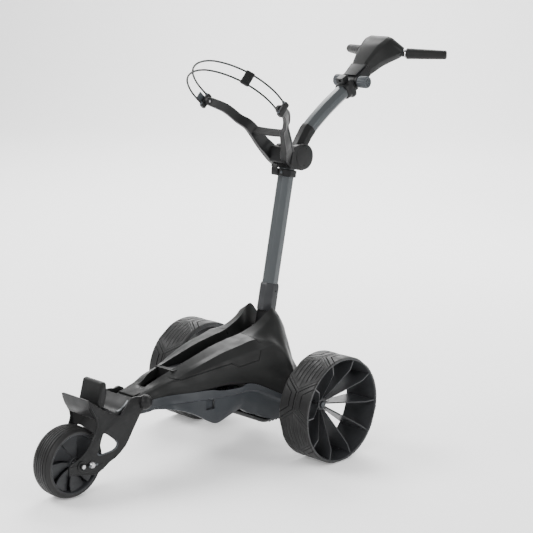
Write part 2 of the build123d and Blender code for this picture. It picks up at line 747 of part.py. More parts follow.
def corner_radii(points):
    """Each corner's arc, from 0.45 of its shorter run."""
    radii = []
    for a, b, c in zip(points, points[1:], points[2:]):
        run_in = Vector(*b) - Vector(*a)
        run_out = Vector(*c) - Vector(*b)
        turn = radians(run_in.get_angle(run_out))
        radii.append(CORD_FILL * min(run_in.length, run_out.length) / tan(turn / 2))
    return radii


cord_radii = corner_radii(CORD_ROUTE)
print("cord radii", [round(r, 1) for r in cord_radii])
for level, height in (("upper", STRAP_GAP / 2), ("lower", -STRAP_GAP / 2)):
    with BuildPart() as strap_cord:
        with BuildLine(STRAP.offset(height)) as cord_path:
            FilletPolyline(*CORD_ROUTE, radius=cord_radii)
        with BuildSketch(Plane(origin=cord_path.line @ 0, z_dir=cord_path.line % 0)):
            Circle(CORD_D / 2)
        sweep(path=cord_path.line)
    cord_length = cord_path.wires()[0].length
    print("cord", level, "length", round(cord_length, 1),
          "volume", round(strap_cord.part.volume, 1),
          "section x length", round(cord_length * radians(180) * CORD_D**2 / 4, 1))
    strap_cord.part.label = f"strap_cord_{level}"
    export_step(strap_cord.part, f"parts/strap_cord_{level}.step")

with BuildPart() as strap_ends:
    for side in (1, -1):
        with BuildSketch(STRAP.offset(-21)):
            with Locations((side * 140, 0)):
                RectangleRounded(11, 17.98, 2)
        extrude(amount=42)
        x_cylinder(STRAP_PIN_R, side * (CRADLE_TIP - 9), side * 140, STRAP_PIVOT)
strap_ends.part.label = "strap_ends"
export_step(strap_ends.part, "parts/strap_ends.step")

# Slider that ties the cords together on the near side, and a stop on each cord at the far side.
with BuildPart() as strap_slider:
    slider_from = Vector(*CORD_ROUTE[3])
    slider_to = Vector(*CORD_ROUTE[4])
    slider_mid = (slider_from + slider_to) / 2
    slider_turn = degrees(atan2(slider_to.Y - slider_from.Y, slider_to.X - slider_from.X))
    with BuildSketch(STRAP.offset(-STRAP_GAP / 2 - 5)):
        with Locations(Location((slider_mid.X, slider_mid.Y), slider_turn)):
            RectangleRounded(24, 9, 3)
    extrude(amount=STRAP_GAP + 10)
    for height in (STRAP_GAP / 2, -STRAP_GAP / 2):
        with BuildSketch(Plane(origin=STRAP.offset(height).from_local_coords(slider_mid),
                               z_dir=STRAP.x_dir.rotate(Axis((0, 0, 0), BAG_AXIS), slider_turn))):
            Circle(CORD_D / 2)
        extrude(amount=14, both=True, mode=Mode.SUBTRACT)
strap_slider.part.label = "strap_slider"
export_step(strap_slider.part, "parts/strap_slider.step")

# Cam lever outside the far end clip, with a barrel along the hinge at its rear edge.
LEVER_AT = (-149.2, 7.5)    # its hinge, in the strap's plane
LEVER_BARREL = 2.5
LEVER_LENGTH = 33.5
LEVER_HALF = 11
with BuildPart() as buckle_lever:
    with BuildSketch(STRAP.offset(-LEVER_HALF)):
        with Locations((LEVER_AT[0], LEVER_AT[1] - LEVER_LENGTH / 2)):
            Rectangle(2 * LEVER_BARREL, LEVER_LENGTH)
        with Locations(LEVER_AT):
            Circle(LEVER_BARREL)
    extrude(amount=2 * LEVER_HALF)
buckle_lever.part.label = "buckle_lever"
export_step(buckle_lever.part, "parts/buckle_lever.step")

# ---- upper column ----
TUBE_W = 40
TUBE_START = (264, 834)
TUBE_MID = (347, 896.5)
TUBE_END = (436, 948)
NECK_DIR = Vector(0, 0.548, 0.837)
TUBE_DIR = Vector(0, 0.777, 0.629)
TUBE_END_DIR = Vector(0, 0.89, 0.456)
hinge_point = Vector(0, *HINGE)
tube_foot = Vector(0, *TUBE_START)
with BuildPart() as upper_knuckle:
    with BuildSketch(Plane(origin=hinge_point + NECK_DIR * 8, x_dir=(1, 0, 0), z_dir=NECK_DIR)):
        RectangleRounded(42, 44, 4)
    with BuildSketch(Plane(origin=hinge_point + NECK_DIR * 40, x_dir=(1, 0, 0), z_dir=NECK_DIR)):
        RectangleRounded(42, 44, 4)
    with BuildSketch(Plane(origin=tube_foot, x_dir=(1, 0, 0), z_dir=TUBE_DIR)):
        RectangleRounded(47, 47, 4)
    loft(ruled=True)
    with BuildSketch(Plane(origin=tube_foot, x_dir=(1, 0, 0), z_dir=TUBE_DIR)):
        RectangleRounded(47, 47, 4)
    extrude(amount=12)
    x_cylinder(KNUCKLE_R, -KNUCKLE_HALF, KNUCKLE_HALF, HINGE)
    # socket for the tube, a little deeper than its foot
    with BuildSketch(Plane(origin=tube_foot - TUBE_DIR * 2.5, x_dir=(1, 0, 0), z_dir=TUBE_DIR)):
        octagon(TUBE_W + 1.4)
    extrude(amount=16, mode=Mode.SUBTRACT)
    x_cylinder(PIN_R + RUN, -30, 30, HINGE, Mode.SUBTRACT)
upper_knuckle.part.label = "upper_knuckle"
export_step(upper_knuckle.part, "parts/upper_knuckle.step")

with BuildPart() as upper_tube:
    with BuildLine() as tube_path:
        ThreePointArc((0, *TUBE_START), (0, *TUBE_MID), (0, *TUBE_END))
    with BuildSketch(Plane(origin=tube_path.line @ 0, x_dir=(1, 0, 0), z_dir=tube_path.line % 0)):
        octagon(TUBE_W)
        octagon(TUBE_W - 2 * COLUMN_WALL, Mode.SUBTRACT)
    sweep(path=tube_path.line)
upper_tube.part.label = "upper_tube"
export_step(upper_tube.part, "parts/upper_tube.step")

EYE_HALF = 20
EYE_R = 17
tube_head = tube_path.line @ 1
head_dir = tube_path.line % 1
with BuildPart() as shoulder_collar:
    with BuildSketch(Plane(origin=tube_head, x_dir=(1, 0, 0), z_dir=head_dir)):
        RectangleRounded(47, 47, 6)
    extrude(amount=-30)
    with BuildSketch(Plane(origin=tube_head, x_dir=(1, 0, 0), z_dir=head_dir)):
        octagon(TUBE_W + 1.4)
    extrude(amount=-31, mode=Mode.SUBTRACT)
    with BuildSketch(Plane(origin=tube_head, x_dir=(1, 0, 0), z_dir=head_dir)):
        RectangleRounded(2 * EYE_HALF, 34, 4)
    extrude(amount=18)
    x_cylinder(EYE_R, -EYE_HALF, EYE_HALF, TILT_PIVOT)
    x_cylinder(PIN_R + RUN, -30, 30, TILT_PIVOT, Mode.SUBTRACT)
shoulder_collar.part.label = "shoulder_collar"
export_step(shoulder_collar.part, "parts/shoulder_collar.step")

# Bracket on top of the collar for clip-on accessories, with a round socket through it.
SOCKET_R = 4
SOCKET_LENGTH = 22
SOCKET_RISE = 33            # from the tube's axis
BRACKET_FROM = -26
with BuildPart() as accessory_bracket:
    bracket_plane = Plane(origin=tube_head, x_dir=(1, 0, 0), z_dir=head_dir)
    with BuildSketch(bracket_plane.offset(BRACKET_FROM)):
        with Locations((0, 0.5 - SOCKET_RISE)):
            RectangleRounded(26, 18, 3)
        with Locations((0, -SOCKET_RISE)):
            Circle(SOCKET_R, mode=Mode.SUBTRACT)
    extrude(amount=SOCKET_LENGTH)
socket_middle = bracket_plane.from_local_coords((0, -SOCKET_RISE, BRACKET_FROM + SOCKET_LENGTH / 2))
print("accessory socket", socket_middle, "along", head_dir)
accessory_bracket.part.label = "accessory_bracket"
export_step(accessory_bracket.part, "parts/accessory_bracket.step")

# ---- handle ----
YOKE_IN = 20.5
YOKE_OUT = 29
BAR_R = 9.5
bar_vertex = (0, GRIP_START[1] - GRIP_START[0] * (GRIP_END[1] - GRIP_START[1])
              / (GRIP_END[0] - GRIP_START[0]), GRIP_START[2])


def bar_run(side):
    """From the start of a grip to its end."""
    return Vector(side * (GRIP_END[0] - GRIP_START[0]), GRIP_END[1] - GRIP_START[1], 0)


bar_length = bar_run(1).length * (GRIP_END[0] - 4) / (GRIP_END[0] - GRIP_START[0])
with BuildPart() as handle_yoke:
    for side in (1, -1):
        with BuildSketch(side_plane(side * YOKE_IN)):
            with Locations(TILT_PIVOT):
                Circle(EYE_R)
            with BuildLine():
                Polyline(*[(TILT_PIVOT[0] + z * rise_cos + y * rise_sin,
                            TILT_PIVOT[1] + z * rise_sin - y * rise_cos)
                           for y, z in ((-17, 0), (-17, 50), (17, 50), (17, 0))], close=True)
            make_face()
        extrude(amount=side * (YOKE_OUT - YOKE_IN))
    with BuildSketch(HANDLE.offset(24)):
        Rectangle(2 * YOKE_OUT, 34)
    extrude(amount=26)
    with BuildSketch(HANDLE.offset(50)):
        RectangleRounded(26, 24, 4)
    extrude(amount=78)
    for side in (1, -1):
        with BuildSketch(Plane(origin=bar_vertex, z_dir=bar_run(side))):
            Circle(BAR_R)
        extrude(amount=bar_length)
    x_cylinder(PIN_R, -40, 40, TILT_PIVOT, Mode.SUBTRACT)
handle_yoke.part.label = "handle_yoke"
export_step(handle_yoke.part, "parts/handle_yoke.step")

with BuildPart() as tilt_bolt:
    x_cylinder(PIN_R, -YOKE_OUT - 20, YOKE_OUT + 20, TILT_PIVOT)
tilt_bolt.part.label = "tilt_bolt"
export_step(tilt_bolt.part, "parts/tilt_bolt.step")

# Ribbed knobs that clamp the tilt.
KNOB_R = 17
KNOB_RIBS = 12
for side_name, side in SIDES:
    with BuildPart() as knob:
        x_cylinder(KNOB_R, side * (YOKE_OUT + 0.4), side * KNOB_OUT, TILT_PIVOT)
        chamfer(knob.faces().sort_by(Axis.X)[-1 if side > 0 else 0].edges(), 2.5)
        with BuildSketch(side_plane(side * (YOKE_OUT + 5), *TILT_PIVOT)):
            with PolarLocations(KNOB_R + 0.8, KNOB_RIBS):
                Circle(2.2)
        extrude(amount=side * 30, mode=Mode.SUBTRACT)
        x_cylinder(PIN_R + RUN, side * YOKE_OUT, side * (YOKE_OUT + 21), TILT_PIVOT, Mode.SUBTRACT)
    knob.part.label = f"knob_{side_name}"
    export_step(knob.part, f"parts/knob_{side_name}.step")

# Console: sections across the handle's own direction, half outlines from the top round.
CONSOLE_SECTIONS = [
    (50.5, [(27, -21), (30, 2), (25, 20)]),
    (96, [(37, -28), (44, 6), (35, 28)]),
    (147, [(46, -31), (76, 16), (62, 38)]),
    (166, [(45, -27), (73, 15), (61, 35)]),
]
CONSOLE_WALL = 3
with BuildPart() as console_shell:
    for z, half in CONSOLE_SECTIONS:
        with BuildSketch(HANDLE.offset(z)):
            with BuildLine():
                Polyline(*mirrored(half), close=True)
            make_face()
    loft(ruled=True)
    for z, half in CONSOLE_SECTIONS:
        with BuildSketch(HANDLE.offset(z)):
            with BuildLine():
                inner = [(x - CONSOLE_WALL, y - CONSOLE_WALL if y > 10 else
                          y + CONSOLE_WALL if y < 0 else y) for x, y in half]
                Polyline(*mirrored(inner), close=True)
            make_face()
    loft(ruled=True, mode=Mode.SUBTRACT)
    for side in (1, -1):
        with BuildSketch(Plane(origin=bar_vertex, z_dir=bar_run(side))):
            Circle(BAR_R + 0.3)
        extrude(amount=120, mode=Mode.SUBTRACT)
console_shell.part.label = "console_shell"
export_step(console_shell.part, "parts/console_shell.step")

DIAL_AT = (0, 20)
BUTTONS = (("power", -34), ("mode", 34))
BUTTON_FACE_R = 6
FACE_Z = 166
with BuildPart() as console_face:
    with BuildSketch(HANDLE.offset(FACE_Z)):
        with BuildLine():
            Polyline(*mirrored(CONSOLE_SECTIONS[-1][1]), close=True)
        make_face()
        for _, x in BUTTONS:
            with Locations((x, 20)):
                Circle(BUTTON_FACE_R + 0.5, mode=Mode.SUBTRACT)
    extrude(amount=3)
console_face.part.label = "console_face"
export_step(console_face.part, "parts/console_face.step")

with BuildPart() as display_glass:
    with BuildSketch(HANDLE.offset(FACE_Z + 3)):
        with Locations((0, -11)):
            RectangleRounded(62, 32, 4)
    extrude(amount=1.5)
display_glass.part.label = "display_glass"
export_step(display_glass.part, "parts/display_glass.step")

with BuildPart() as speed_dial:
    with BuildSketch(HANDLE.offset(FACE_Z + 3.4)):
        with Locations(DIAL_AT):
            Circle(12)
    extrude(amount=8)
    chamfer(speed_dial.faces().sort_by(Axis.Z)[-1].edges(), 1)
speed_dial.part.label = "speed_dial"
export_step(speed_dial.part, "parts/speed_dial.step")

for button_name, x in BUTTONS:
    with BuildPart() as button:
        with BuildSketch(HANDLE.offset(FACE_Z - 1)):
            with Locations((x, 20)):
                Circle(BUTTON_FACE_R)
        extrude(amount=6)
    button.part.label = f"{button_name}_button"
    export_step(button.part, f"parts/{button_name}_button.step")

for side_name, side in SIDES:
    grip_start = Vector(side * GRIP_START[0], GRIP_START[1], GRIP_START[2])
    grip_end = Vector(side * GRIP_END[0], GRIP_END[1], GRIP_END[2])
    with BuildPart() as grip:
        with BuildSketch(Plane(origin=grip_start + bar_run(side) * 0.04, z_dir=bar_run(side))):
            Circle(GRIP_R - 1.5)
        with BuildSketch(Plane(origin=grip_end, z_dir=bar_run(side))):
            Circle(GRIP_R)
        loft()
        fillet(grip.faces().sort_by(Axis.X)[-1 if side > 0 else 0].edges(), 3)
        with BuildSketch(Plane(origin=bar_vertex, z_dir=bar_run(side))):
            Circle(BAR_R)
        extrude(amount=bar_length, mode=Mode.SUBTRACT)
    grip.part.label = f"grip_{side_name}"
    export_step(grip.part, f"parts/grip_{side_name}.step")

with BuildPart() as grip_rings:
    for side in (1, -1):
        grip_start = Vector(side * GRIP_START[0], GRIP_START[1], GRIP_START[2])
        with BuildSketch(Plane(origin=grip_start, z_dir=bar_run(side))):
            Circle(GRIP_R - 0.8)
            Circle(BAR_R, mode=Mode.SUBTRACT)
        extrude(amount=3)
grip_rings.part.label = "grip_rings"
export_step(grip_rings.part, "parts/grip_rings.step")
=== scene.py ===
"""Electric golf trolley: its looks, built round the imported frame.

Working sizes are millimetres in the frame's own axes (+X left, -Y front, +Z up); a mesh is turned into
metres when it is made. Places come from the frame's nodes.
"""
from math import atan2, cos, pi, radians, sin

import bmesh
import bpy
from mathutils import Matrix, Vector


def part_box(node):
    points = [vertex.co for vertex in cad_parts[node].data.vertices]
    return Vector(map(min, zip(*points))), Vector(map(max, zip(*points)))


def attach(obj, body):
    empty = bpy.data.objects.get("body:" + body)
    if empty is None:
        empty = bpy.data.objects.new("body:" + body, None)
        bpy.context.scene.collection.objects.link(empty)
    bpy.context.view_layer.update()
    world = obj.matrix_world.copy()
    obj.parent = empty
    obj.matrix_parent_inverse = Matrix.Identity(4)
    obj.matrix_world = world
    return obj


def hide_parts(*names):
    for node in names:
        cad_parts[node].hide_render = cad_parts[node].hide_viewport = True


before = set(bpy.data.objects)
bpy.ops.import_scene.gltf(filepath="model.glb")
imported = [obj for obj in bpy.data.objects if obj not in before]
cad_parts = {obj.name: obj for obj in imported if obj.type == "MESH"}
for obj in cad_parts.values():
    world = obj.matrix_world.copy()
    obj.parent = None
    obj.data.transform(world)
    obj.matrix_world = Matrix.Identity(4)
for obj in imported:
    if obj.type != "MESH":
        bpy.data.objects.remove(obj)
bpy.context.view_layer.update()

MM = 0.001
SIDES = (("left", 1), ("right", -1))


# ---------------------------------------------------------------- places from the frame
def corners(node):
    """A node's lowest and highest corner, in millimetres."""
    low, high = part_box(node)
    return Vector(low) / MM, Vector(high) / MM


def middle(node):
    low, high = corners(node)
    return (low + high) / 2


AXLE = middle("axle_left")
WHEEL_R = (corners("tyre_left")[1].z - corners("tyre_left")[0].z) / 2
WHEEL_OUT = corners("tyre_left")[1].x
WHEEL_IN = corners("tyre_left")[0].x
FRONT = middle("front_axle")
FRONT_R = (corners("front_tyre")[1].z - corners("front_tyre")[0].z) / 2
FRONT_HALF = corners("front_tyre")[1].x
PIVOT = middle("fork_pivot_pin")
COLUMN_FOOT = middle("column_pin")
HINGE = middle("hinge_pin")
TILT = middle("tilt_bolt")
STRAP_MID = middle("strap_ends")
STRAP_GAP = 29.7
STRAP_TILT = radians(40.6)
LEAN = radians(10.4)
RISE = radians(38.5)

COLUMN_UP = Vector((0, sin(LEAN), cos(LEAN)))
COLUMN_BACK = Vector((0, cos(LEAN), -sin(LEAN)))
BAG_AXIS = Vector((0, sin(STRAP_TILT), cos(STRAP_TILT)))
STRAP_AHEAD = Vector((0, -cos(STRAP_TILT), sin(STRAP_TILT)))
HANDLE_OUT = Vector((0, cos(RISE), sin(RISE)))
HANDLE_DOWN = Vector((0, sin(RISE), -cos(RISE)))


def on_column(x, t, s):
    """A point t behind the lower column's axis and s along it from the pivot."""
    return Vector((x, COLUMN_FOOT.y, COLUMN_FOOT.z)) + COLUMN_BACK * t + COLUMN_UP * s


def on_handle(x, y, z):
    """A point z out along the console from the tilt bolt, y below its middle."""
    return Vector((x, TILT.y, TILT.z)) + HANDLE_DOWN * y + HANDLE_OUT * z


def on_strap(x, ahead, up):
    return Vector((x, STRAP_MID.y, STRAP_MID.z)) + STRAP_AHEAD * ahead + BAG_AXIS * up


# ---------------------------------------------------------------- camera
CAMERA_AZ = radians(43.08)
CAMERA_EL = radians(11.84)
CAMERA_ROLL = radians(1.28)
CAMERA_FAR = 3.874
CAMERA_AIM = Vector((0, 0.1163, 0.4766))
CAMERA_LENS = 96.33


def add_camera():
    back = Vector((sin(CAMERA_AZ) * cos(CAMERA_EL), -cos(CAMERA_AZ) * cos(CAMERA_EL), sin(CAMERA_EL)))
    right = Vector((cos(CAMERA_AZ), sin(CAMERA_AZ), 0))
    up = back.cross(right)
    rolled = right * cos(CAMERA_ROLL) + up * sin(CAMERA_ROLL)
    raised = back.cross(rolled)
    camera = bpy.data.objects.new("camera", bpy.data.cameras.new("camera"))
    camera.data.lens = CAMERA_LENS
    camera.data.sensor_width = 36
    camera.data.clip_end = 60
    camera.matrix_world = Matrix((rolled, raised, back)).transposed().to_4x4()
    camera.location = CAMERA_AIM + back * CAMERA_FAR
    bpy.context.collection.objects.link(camera)
    bpy.context.scene.camera = camera


add_camera()


# ---------------------------------------------------------------- materials
def material(name, color, roughness, metallic=0.0, grain=900, grain_depth=0.06, tint=0.12,
             rough_swing=0.08, edge_highlight=0.0, edge_highlight_color=None, coat=0.0, specular=0.22, cells=False,
             streak=None, sheen=0.0):
    """A moulded, painted or rubber finish: broad tint, fine grain, uneven gloss and sharp edges painted
    lighter as a highlight.
    """
    mat = bpy.data.materials.new(name)
    mat.use_nodes = True
    tree = mat.node_tree
    nodes, links = tree.nodes, tree.links
    shader = nodes["Principled BSDF"]
    shader.inputs["Metallic"].default_value = metallic
    shader.inputs["Specular IOR Level"].default_value = specular
    shader.inputs["Coat Weight"].default_value = coat
    shader.inputs["Coat Roughness"].default_value = 0.25
    shader.inputs["Sheen Weight"].default_value = sheen
    place = nodes.new("ShaderNodeTexCoord")
    source = place.outputs["Object"]
    if streak:
        stretch = nodes.new("ShaderNodeMapping")
        stretch.inputs["Scale"].default_value = streak
        links.new(source, stretch.inputs["Vector"])
        source = stretch.outputs["Vector"]

    broad = nodes.new("ShaderNodeTexNoise")
    broad.inputs["Scale"].default_value = 14
    broad.inputs["Detail"].default_value = 4
    links.new(place.outputs["Object"], broad.inputs["Vector"])
    shade = nodes.new("ShaderNodeMix")
    shade.data_type = "RGBA"
    dark = [c * (1 - tint) for c in color]
    light = [min(1, c * (1 + tint)) for c in color]
    shade.inputs["A"].default_value = (*dark, 1)
    shade.inputs["B"].default_value = (*light, 1)
    links.new(broad.outputs["Fac"], shade.inputs["Factor"])
    surface = shade.outputs["Result"]

    if cells:
        fine = nodes.new("ShaderNodeTexVoronoi")
        fine.inputs["Scale"].default_value = grain
        height = fine.outputs["Distance"]
    else:
        fine = nodes.new("ShaderNodeTexNoise")
        fine.inputs["Scale"].default_value = grain
        fine.inputs["Detail"].default_value = 3
        height = fine.outputs["Fac"]
    links.new(source, fine.inputs["Vector"])

    # Painted highlight: sharp edges, found by pointiness, get a lighter colour.
    if edge_highlight:
        edge = nodes.new("ShaderNodeNewGeometry")
        ramp = nodes.new("ShaderNodeValToRGB")
        ramp.color_ramp.elements[0].position = 0.52
        ramp.color_ramp.elements[1].position = 0.60
        links.new(edge.outputs["Pointiness"], ramp.inputs["Fac"])
        highlight_mask = nodes.new("ShaderNodeMath")
        highlight_mask.operation = "MULTIPLY"
        highlight_mask.inputs[1].default_value = edge_highlight
        links.new(ramp.outputs["Color"], highlight_mask.inputs[0])
        edge_lit = nodes.new("ShaderNodeMix")
        edge_lit.data_type = "RGBA"
        edge_lit.inputs["B"].default_value = (*(edge_highlight_color or [min(1, c * 2.2) for c in color]), 1)
        links.new(highlight_mask.outputs["Value"], edge_lit.inputs["Factor"])
        links.new(surface, edge_lit.inputs["A"])
        surface = edge_lit.outputs["Result"]
    links.new(surface, shader.inputs["Base Color"])

    smudge = nodes.new("ShaderNodeTexNoise")
    smudge.inputs["Scale"].default_value = 38
    smudge.inputs["Detail"].default_value = 5
    links.new(place.outputs["Object"], smudge.inputs["Vector"])
    gloss = nodes.new("ShaderNodeMapRange")
    gloss.inputs["From Min"].default_value = 0.3
    gloss.inputs["From Max"].default_value = 0.7
    gloss.inputs["To Min"].default_value = max(0.04, roughness - rough_swing)
    gloss.inputs["To Max"].default_value = min(1, roughness + rough_swing)
    links.new(smudge.outputs["Fac"], gloss.inputs["Value"])
    links.new(gloss.outputs["Result"], shader.inputs["Roughness"])

    bump = nodes.new("ShaderNodeBump")
    bump.inputs["Strength"].default_value = grain_depth
    bump.inputs["Distance"].default_value = 0.0006
    links.new(height, bump.inputs["Height"])
    links.new(bump.outputs["Normal"], shader.inputs["Normal"])
    return mat


# The edge amounts below paint sharp edges lighter as a highlight.
COVER = material("cover_satin", (0.0095, 0.0099, 0.0098), 0.44, grain=2200, grain_depth=0.05, edge_highlight=0.25,
                 specular=0.15)
TRAY = material("tray_satin", (0.026, 0.029, 0.033), 0.40, grain=2200, grain_depth=0.05, edge_highlight=0.2)
BLACK = material("black_moulded", (0.0055, 0.0057, 0.006), 0.42, grain=1500, grain_depth=0.10, edge_highlight=0.3)
# Painted shade: a black darker than the parts' own plastic, for the insides under the cover, sunk screws and
# dots, and the saddle's notch.
SHADE_BLACK = material("black_painted_shade", (0.003, 0.003, 0.003), 0.66, grain=1100, grain_depth=0.12)
GREY = material("grey_moulded", (0.045, 0.050, 0.055), 0.38, grain=1500, grain_depth=0.10, edge_highlight=0.2)
RIM = material("rim_moulded", (0.026, 0.027, 0.029), 0.36, grain=1300, grain_depth=0.06, edge_highlight=0.35)
# The tyre's sharp tread edges are painted light grey as a highlight.
TYRE = material("tyre_rubber", (0.0095, 0.0095, 0.0096), 0.50, grain=1700, grain_depth=0.14, tint=0.25,
                rough_swing=0.12, edge_highlight=0.5, edge_highlight_color=(0.06, 0.06, 0.06))
GRIP = material("grip_rubber", (0.006, 0.006, 0.006), 0.52, grain=900, grain_depth=0.35, cells=True)
TUBE = material("tube_paint", (0.060, 0.066, 0.070), 0.36, metallic=0.5, grain=3200, grain_depth=0.03,
                tint=0.05, rough_swing=0.04, coat=0.35)
STEEL = material("brushed_steel", (0.46, 0.46, 0.47), 0.30, metallic=1.0, grain=260, grain_depth=0.12,
                 streak=(1, 14, 14))
CHROME = material("polished_chrome", (0.78, 0.78, 0.80), 0.10, metallic=1.0, grain=600,
                  grain_depth=0.02, rough_swing=0.04)
GLASS = material("display_gloss", (0.006, 0.007, 0.009), 0.08, grain=400, grain_depth=0.01,
                 rough_swing=0.03, coat=0.6)
MARKS = material("display_marks", (0.55, 0.62, 0.66), 0.35, grain=800, grain_depth=0.02)
ELASTIC = material("braided_elastic", (0.010, 0.010, 0.011), 0.72, grain=900, grain_depth=0.5,
                   cells=True, sheen=0.15)
BATTERY = material("battery_case", (0.018, 0.018, 0.020), 0.50, grain=1200, grain_depth=0.16, edge_highlight=0.3)


# ---------------------------------------------------------------- mesh making
def piece(name, verts, faces, mat, body, slot=None, bevel=0.0, segments=3, angle=30, thickness=0.0):
    """A named mesh, in metres, with rounded edges, that rides on a body of the frame."""
    mesh = bpy.data.meshes.new(name)
    mesh.from_pydata([tuple(Vector(v) * MM) for v in verts], [], faces)
    mesh.validate()
    shape = bmesh.new()
    shape.from_mesh(mesh)
    bmesh.ops.remove_doubles(shape, verts=shape.verts, dist=1e-6)
    bmesh.ops.recalc_face_normals(shape, faces=shape.faces)
    if not bevel:
        for edge in shape.edges:
            if len(edge.link_faces) == 2 and edge.calc_face_angle(0) > radians(angle):
                edge.smooth = False
    shape.to_mesh(mesh)
    shape.free()
    if bevel:
        mesh.shade_smooth()
    for polygon in mesh.polygons:
        polygon.use_smooth = True
    mesh.materials.append(mat)
    made = bpy.data.objects.new(name, mesh)
    bpy.context.collection.objects.link(made)
    if thickness:
        wall = made.modifiers.new("wall", "SOLIDIFY")
        wall.thickness = thickness * MM
        wall.offset = -1
    if bevel:
        rounding = made.modifiers.new("rounding", "BEVEL")
        rounding.width = bevel * MM
        rounding.segments = segments
        rounding.limit_method = "ANGLE"
        rounding.angle_limit = radians(angle)
        rounding.harden_normals = True
    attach(made, body)
    return made


def rings_faces(count, size, closed_rows=False, caps=True):
    """Quads between rings of equal size, with end caps or joined round."""
    faces = []
    for k in range(count if closed_rows else count - 1):
        here, there = k * size, (k + 1) % count * size
        for j in range(size):
            i = (j + 1) % size
            faces.append((here + j, here + i, there + i, there + j))
    if caps and not closed_rows:
        faces.append(tuple(range(size))[::-1])
        faces.append(tuple(range((count - 1) * size, count * size)))
    return faces


def loft(name, rings, mat, body, **style):
    verts = [v for ring in rings for v in ring]
    return piece(name, verts, rings_faces(len(rings), len(rings[0])), mat, body, **style)


def prism(name, outline, x_from, x_to, mat, body, **style):
    """An outline of (y, z) points drawn across X."""
    rings = [[(x, y, z) for y, z in outline] for x in (x_from, x_to)]
    return loft(name, rings, mat, body, **style)


def lathe(name, profile, centre, mat, body, side=1, steps=96, **style):
    """A closed outline of (x, r) points turned about the line along X through the centre."""
    rings = []
    for k in range(steps):
        turn = 2 * pi * k / steps
        rings.append([(side * x, centre.y + r * cos(turn), centre.z + r * sin(turn)) for x, r in profile])
    verts = [v for ring in rings for v in ring]
    faces = rings_faces(steps, len(profile), closed_rows=True)
    return piece(name, verts, faces, mat, body, **style)


def spun(name, profile, origin, axis, mat, body, steps=48, **style):
    """A closed outline of (along, r) points turned about any axis through an origin."""
    axis = Vector(axis).normalized()
    across = axis.orthogonal().normalized()
    other = axis.cross(across)
    verts = []
    for k in range(steps):
        turn = 2 * pi * k / steps
        out = across * cos(turn) + other * sin(turn)
        verts += [Vector(origin) + axis * a + out * r for a, r in profile]
    faces = rings_faces(steps, len(profile), closed_rows=True)
    return piece(name, verts, faces, mat, body, **style)


def rounded(width, height, radius, steps=4, centre=(0, 0)):
    """A rectangle with round corners, as (x, y) points."""
    points = []
    for corner, (sx, sy) in enumerate(((1, 1), (-1, 1), (-1, -1), (1, -1))):
        for k in range(steps + 1):
            turn = pi / 2 * (corner + k / steps)
            points.append((centre[0] + sx * (width / 2 - radius) + radius * cos(turn),
                           centre[1] + sy * (height / 2 - radius) + radius * sin(turn)))
    return points


def octagon(across, radius, steps=3):
    """An eight-sided outline with flats square to its axes and rounded corners."""
    corner = across / 2 / cos(pi / 8)
    inset = radius / cos(pi / 8)
    points = []
    for k in range(8):
        turn = pi / 8 + k * pi / 4
        for j in range(steps + 1):
            swing = turn - pi / 8 + pi / 4 * j / steps
            points.append(((corner - inset) * cos(turn) + radius * cos(swing),
                           (corner - inset) * sin(turn) + radius * sin(swing)))
    return points


def placed(outline, origin, x_dir, y_dir):
    return [Vector(origin) + Vector(x_dir) * x + Vector(y_dir) * y for x, y in outline]


X = Vector((1, 0, 0))
Y = Vector((0, 1, 0))
Z = Vector((0, 0, 1))

# ---------------------------------------------------------------- elastic cords
CORD_D = 5
CORD_HALF = [(140, 9), (142.5, 38), (136, 73), (118, 108), (88, 137), (48, 157)]
CORD_ROUTE = CORD_HALF + [(0, 166)] + [(-x, ahead) for x, ahead in reversed(CORD_HALF)]


def add_cord(level, up):
    curve = bpy.data.curves.new(f"cord_{level}", "CURVE")
    curve.dimensions = "3D"
    curve.bevel_depth = CORD_D / 2 * MM
    curve.bevel_resolution = 6
    curve.use_fill_caps = True
    curve.resolution_u = 24
    route = curve.splines.new("NURBS")
    route.points.add(len(CORD_ROUTE) - 1)
    for point, (x, ahead) in zip(route.points, CORD_ROUTE):
        point.co = (*(on_strap(x, ahead, up) * MM), 1)
    route.order_u = 3
    route.use_endpoint_u = True
    cord = bpy.data.objects.new(f"cord_{level}", curve)
    bpy.context.collection.objects.link(cord)
    curve.materials.append(ELASTIC)
    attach(cord, "bag_strap")
    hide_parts(f"strap_cord_{level}")


add_cord("upper", STRAP_GAP / 2)
add_cord("lower", -STRAP_GAP / 2)


# ---------------------------------------------------------------- rear wheels
LUG_COUNT = 5
LUG_TURN = radians(18)          # first lug, up from the wheel's front
FIN_COUNT = 10
BARREL = WHEEL_R - 5.5          # where the tyre sits on the rim
TREAD_ACROSS = 76
TREAD_ROUND = 700


def groove(off, half):
    """Depth, 0 to 1, of a groove with sloping walls at a distance from its middle."""
    return min(1, max(0, 1.5 - abs(off) / half))


def tread_depth(v, u):
    """How far the tread lies below its full radius; v is in from the nearer edge, u round from a lug."""
    level = max(v / 30, 1 + (abs(u) + 0.75 * v - 41) / 32)
    depth = max(3.0 * groove((level - 1) * 30, 1.0), 2.6 * groove((level - 1.5) * 30, 0.9),
                1.5 * groove((level - 1.8) * 30, 0.75))
    between = min(1, max(0, (level - 1.8) / 0.5))
    ribs = max(groove((v + 6) % 12 - 6, 1.1), 0.35 * groove(v % 2.4 - 1.2, 0.5))
    crown = 0.7 * min(1, max(0, (level - 1.02) * 8)) if level < 1.5 else 0.7
    shoulder = 2.2 * (1 - v / 5) ** 2 if v < 5 else 0
    return max(depth, between * (1.7 + 1.3 * ribs)) + 0.3 * crown + shoulder


